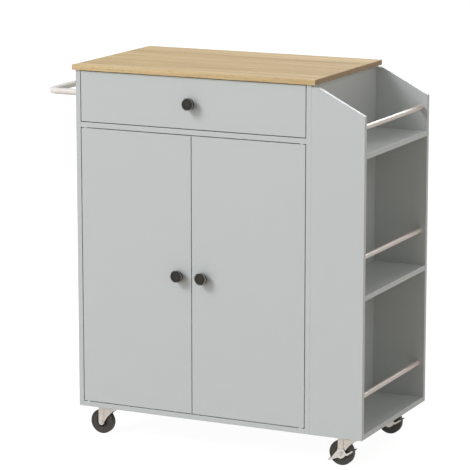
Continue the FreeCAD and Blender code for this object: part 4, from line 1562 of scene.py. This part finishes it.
@dataclass
class Fixings:
    """What holds the boards together: cams, dowels, pins, bushes, the catch and the screws.

    Attributes:
        softened: Nodes whose pieces keep their own shape, with the pieces' names and their rounding.
        flange_radius: The radius of the door bushes' flanges.
        flange_rounding: The rounding of the flanges' edges.
        flange_steps: How many steps go round a flange.
        flange_play: What a flange leaves free above or below the door.
        pin_play: What a flange leaves free round the pin.
    """

    softened: tuple[tuple[str, str, float], ...] = (
        ("cam_fasteners", "cams_and_bolts", 0.25 * MM),
        ("dowels", "beech_dowels", 0.4 * MM),
        ("shelf_pins", "shelf_supports", 0.4 * MM),
        ("door_catch", "magnetic_catch", 0.4 * MM),
    )
    flange_radius: float = 5.2 * MM
    flange_rounding: float = 0.15 * MM
    flange_steps: int = 48
    flange_play: float = 0.3 * MM
    pin_play: float = 0.2 * MM

    def build(self) -> None:
        """Makes the fixings."""
        for node, name, width in self.softened:
            softened_piece(name, node, width, steps=2)
        fastener_piece("board_screws", "wood_screws")
        self.bushes()

    def bushes(self) -> None:
        """Makes the door bushes, each with a flange that keeps the door's edge off the board."""
        shape = merged_copy("pivot_bushes")
        door_low, door_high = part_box("left_door")
        places = []
        for shell in islands(shape):
            low, high = span(shell)
            middle = (low + high) / 2
            bore = min(math.hypot(vert.co.x - middle.x, vert.co.y - middle.y) for vert in shell)
            end, edge = (low.z, door_high.z) if middle.z > door_high.z else (high.z, door_low.z)
            places.append((Vector((middle.x, middle.y, end)), edge - end, bore))
        soften(shape, METALWORK_ROUNDING, steps=2)
        for place, gap, bore in places:
            reach = gap - math.copysign(self.flange_play, gap)
            inner = max(bore, self.flange_radius / 2) + self.pin_play
            outline = [(inner, 0.0), (self.flange_radius, 0.0), (self.flange_radius, reach), (inner, reach)]
            ring = spun(outline + outline[:1], self.flange_steps)
            soften(ring, self.flange_rounding, steps=2)
            add_copy(shape, ring, Matrix.Translation(place))
            ring.free()
        Piece("door_bushes", "pivot_bushes", shape).place()


@dataclass
class Caster:
    """One caster below its plate: fork, axle and wheel, and a brake where there is one.

    Attributes:
        corner: The corner that it stands at.
        rounding: The rounding of the fork's and the wheel's edges.
        axle_rounding: The rounding of the axle's edges.
        brake_rounding: The rounding of the brake's edges.
        shortest: Edges of the fork and the brake shorter than this stay sharp.
        ribs: How many ribs stand in the ring round the wheel's hub, on each side.
        rib_width: A rib's width.
        rib_rounding: The rounding of a rib's edges.
        ring_inner: The ring's inner radius.
        ring_outer: The ring's outer radius.
        ring_play: How far outside the ring's radii a point still counts as in it.
        ring_depth: How far in from the wheel's side the ring starts.
        rib_inset: How far the ribs stand back from the wheel's side.
        rib_depth: How deep the ribs reach.
        crown_depth: How deep the fork's flat top is, with its rounding.
        cheek_gap: How far from the hub the fork's inner faces end, at most; these faces get painted shade.
    """

    corner: Corner
    rounding: float = 0.3 * MM
    axle_rounding: float = 0.4 * MM
    brake_rounding: float = 0.25 * MM
    shortest: float = 0.4 * MM
    ribs: int = 8
    rib_width: float = 1.4 * MM
    rib_rounding: float = 0.25 * MM
    ring_inner: float = 8.8 * MM
    ring_outer: float = 13.7 * MM
    ring_play: float = 0.2 * MM
    ring_depth: float = 0.1 * MM
    rib_inset: float = 1.5 * MM
    rib_depth: float = 3.4 * MM
    crown_depth: float = 2.4 * MM
    cheek_gap: float = 0.5 * MM

    def build(self) -> None:
        """Makes the caster's moving pieces."""
        where = self.corner.value
        self.fork(where)
        softened_piece(f"caster_axle_{where}", f"axle_{where}", self.axle_rounding)
        self.wheel(where)
        brake = f"brake_{where}"
        if brake in frame["nodes"]:
            softened_piece(f"caster_{brake}", brake, self.brake_rounding, self.shortest, 2)

    def fork(self, where: str) -> None:
        """Makes the fork, with painted shade on the faces that look at the wheel.

        Args:
            where: The corner's name.
        """
        node = f"fork_{where}"
        shape = merged_copy(node)
        soften(shape, self.rounding, self.shortest, 2)
        hollow = edge_and_shade_layers(shape)[1]
        low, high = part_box(f"wheel_{where}")
        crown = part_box(node)[1].z - self.crown_depth
        # painted shade on the fork's faces that look at the wheel, below its flat top
        for vert in shape.verts:
            from_middle = abs(vert.co.y - (low.y + high.y) / 2)
            if vert.co.z < crown and from_middle < (high.y - low.y) / 2 + self.cheek_gap:
                vert[hollow] = 1.0
        Piece(f"caster_{node}", node, shape).place()

    def wheel(self, where: str) -> None:
        """Makes the wheel, with ribs across the ring round its hub and painted shade in that ring.

        Args:
            where: The corner's name.
        """
        node = f"wheel_{where}"
        low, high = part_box(node)
        middle = (low + high) / 2
        shape = merged_copy(node)
        soften(shape, self.rounding, steps=2)
        reach = (high.y - low.y) / 2
        hollow = edge_and_shade_layers(shape)[1]
        inner, outer = self.ring_inner - self.ring_play, self.ring_outer + self.ring_play
        # painted shade in the ring round the hub
        for vert in shape.verts:
            out = math.hypot(vert.co.x - middle.x, vert.co.z - middle.z)
            if inner < out < outer and reach - abs(vert.co.y - middle.y) > self.ring_depth:
                vert[hollow] = 1.0
        rib = self.rib()
        radius = (self.ring_inner + self.ring_outer) / 2
        depth = reach - self.rib_inset - self.rib_depth / 2
        for side in (-1, 1):
            for number in range(self.ribs):
                turn = Matrix.Rotation(math.tau * number / self.ribs, 3, "Y")
                offset = turn @ Vector((radius, 0.0, 0.0)) + Vector((0.0, side * depth, 0.0))
                add_copy(shape, rib, Matrix.Translation(middle + offset) @ turn.to_4x4())
        rib.free()
        Piece(f"caster_{node}", node, shape).place()

    def rib(self) -> WorkMesh:
        """One rounded rib, at the origin.

        Returns:
            The rib's mesh.
        """
        block = bmesh.new()
        size = Vector((self.ring_outer - self.ring_inner, self.rib_depth, self.rib_width))
        bmesh.ops.create_cube(block, size=1.0)
        bmesh.ops.scale(block, vec=size, verts=block.verts)
        soften(block, self.rib_rounding, steps=2)
        return block


@dataclass
class CasterPlates:
    """The four plates that the casters turn under.

    Attributes:
        rounding: The rounding of their edges.
        shortest: Edges shorter than this stay sharp.
    """

    rounding: float = 0.3 * MM
    shortest: float = 0.3 * MM

    def build(self) -> None:
        """Makes the plates."""
        softened_piece("caster_top_plates", "caster_plates", self.rounding, self.shortest, 2)


# The room and the camera
@dataclass(frozen=True)
class PhotoCamera:
    """The camera, where the photo was taken from.

    Attributes:
        place: Its place.
        turn: How far it is turned to the left of straight ahead, in degrees.
        dip: How far it looks down, in degrees.
        lens: Its focal length, in millimetres.
        sensor: The width of its sensor, in millimetres.
        nearest: The nearest that it sees.
        furthest: The furthest that it sees.
    """

    place: tuple[float, float, float] = (2.5479, -5.3244, 1.6720)
    turn: float = 25.525
    dip: float = 11.361
    lens: float = 193.15
    sensor: float = 36.0
    nearest: float = 0.1
    furthest: float = 100.0

    def build(self) -> None:
        """Makes the camera and gives it to the scene."""
        data = bpy.data.cameras.new("photo_camera")
        data.sensor_width = self.sensor
        data.lens = self.lens
        data.clip_start = self.nearest
        data.clip_end = self.furthest
        camera = new_object("photo_camera", data)
        camera.location = self.place
        camera.rotation_euler = (math.radians(90 - self.dip), 0.0, math.radians(self.turn))
        bpy.context.scene.camera = camera


@dataclass(frozen=True)
class SoftBox:
    """A square lamp that faces the island.

    Attributes:
        name: The lamp's name.
        bearing: Where it stands: degrees from straight in front, to the left where negative.
        height: Degrees above the island's middle.
        distance: How far away it is.
        size: The length of its sides.
        power: Its power in watts.
        tint: Its colour.
    """

    name: str
    bearing: float
    height: float
    distance: float
    size: float
    power: float
    tint: tuple[float, float, float] = (1.0, 1.0, 1.0)

    def build(self) -> None:
        """Makes the lamp."""
        data = bpy.data.lights.new(self.name, "AREA")
        data.size = self.size
        data.energy = self.power
        data.color = self.tint
        low, high = CAD_BOX
        bearing, height = math.radians(self.bearing), math.radians(self.height)
        away = Vector((
            math.sin(bearing) * math.cos(height), -math.cos(bearing) * math.cos(height), math.sin(height)
        ))
        lamp = new_object(self.name, data)
        lamp.location = (low + high) / 2 + away * self.distance
        lamp.rotation_euler = (-away).to_track_quat("-Z", "Y").to_euler()


@dataclass
class Studio:
    """A plain pale room: floor, sky and lamps.

    Attributes:
        floor_size: The floor's length and width.
        sky: The sky's strength on the object.
        sky_tint: The sky's colour on the object.
        floor_tint: The floor's colour as it lights the object.
        floor_glow: The floor's own brightness as the camera sees it.
        floor_shade: How much of the lamps' light the floor shows.
        lamps: The lamps.
    """

    floor_size: float = 40.0
    sky: float = 0.305
    sky_tint: Colour = (1.0, 0.96, 0.885, 1.0)
    floor_tint: Colour = (0.60, 0.555, 0.49, 1.0)
    floor_glow: float = 0.94
    floor_shade: float = 0.16
    lamps: tuple[SoftBox, ...] = (
        SoftBox("key", -38.0, 38.0, 20.0, 7.5, 2290.0, (0.965, 1.0, 1.04)),
        SoftBox("fill", -18.0, 4.0, 20.0, 18.0, 1540.0, (0.965, 1.0, 1.04)),
        SoftBox("overhead", 0.0, 88.0, 6.0, 4.0, 8.0),
        SoftBox("side", 85.0, 39.0, 8.0, 4.0, 60.0),
        SoftBox("back", 180.0, 22.0, 8.0, 4.0, 280.0, (0.97, 1.0, 1.03)),
    )

    def build(self) -> None:
        """Makes the room."""
        self.floor()
        self.sky_light()
        for lamp in self.lamps:
            lamp.build()
        bpy.context.scene.view_settings.view_transform = "Standard"

    def seen(self, desk: NodeDesk) -> Socket:
        """A mask of the rays that show the background: those of the camera, gloss and glass.

        Args:
            desk: The tree that it goes in.

        Returns:
            The mask.
        """
        path = desk.add("ShaderNodeLightPath").outputs
        first = desk.maths("MAXIMUM", path["Is Camera Ray"], path["Is Glossy Ray"])
        return desk.maths("MAXIMUM", first, path["Is Transmission Ray"])

    def floor(self) -> None:
        """Makes the floor, white to the camera but for the island's shadow."""
        material = bpy.data.materials.new("studio_floor")
        material.use_nodes = True
        desk = NodeDesk(material.node_tree)
        nodes = material.node_tree.nodes
        nodes.remove(nodes["Principled BSDF"])
        shade_tint = (self.floor_shade, self.floor_shade, self.floor_shade, 1.0)
        plain = desk.add("ShaderNodeBsdfDiffuse", {"Color": self.floor_tint}).outputs[0]
        shadow = desk.add("ShaderNodeBsdfDiffuse", {"Color": shade_tint}).outputs[0]
        glow = desk.add("ShaderNodeEmission", {"Strength": self.floor_glow}).outputs[0]
        shown = desk.add("ShaderNodeAddShader", {0: shadow, 1: glow}).outputs[0]
        both = desk.add("ShaderNodeMixShader", {0: self.seen(desk), 1: plain, 2: shown}).outputs[0]
        desk.feed(nodes["Material Output"].inputs["Surface"], both)
        shape = bmesh.new()
        bmesh.ops.create_grid(shape, x_segments=1, y_segments=1, size=self.floor_size / 2)
        floor = mesh_object("studio_floor", shape, material)

    def sky_light(self) -> None:
        """Makes an even sky that the camera sees as white."""
        world = bpy.data.worlds.new("studio_sky")
        world.use_nodes = True
        bpy.context.scene.world = world
        desk = NodeDesk(world.node_tree)
        background = world.node_tree.nodes["Background"]
        seen = self.seen(desk)
        strength = desk.add("ShaderNodeMapRange", {0: seen, 3: self.sky, 4: 1.0})
        desk.feed(background.inputs["Color"], desk.mix(seen, self.sky_tint, (1.0, 1.0, 1.0, 1.0)))
        desk.feed(background.inputs["Strength"], strength.outputs[0])


def main() -> None:
    """Builds the island, the room and the camera, in order."""
    logging.basicConfig(level=logging.INFO, format="%(name)s %(message)s")
    EFFECTS.build()
    parts = [
        OakTop(),
        Carcass(),
        SideRack(),
        TowelBar(),
        Door(Hand.LEFT),
        Door(Hand.RIGHT),
        Drawer(),
        Fixings(),
        CasterPlates(),
        *(Caster(corner) for corner in Corner),
        Studio(),
        PhotoCamera(),
    ]
    for part in parts:
        log.info("building %s", type(part).__name__)
        part.build()
    bpy.context.view_layer.update()


if __name__ == "__main__":
    main()
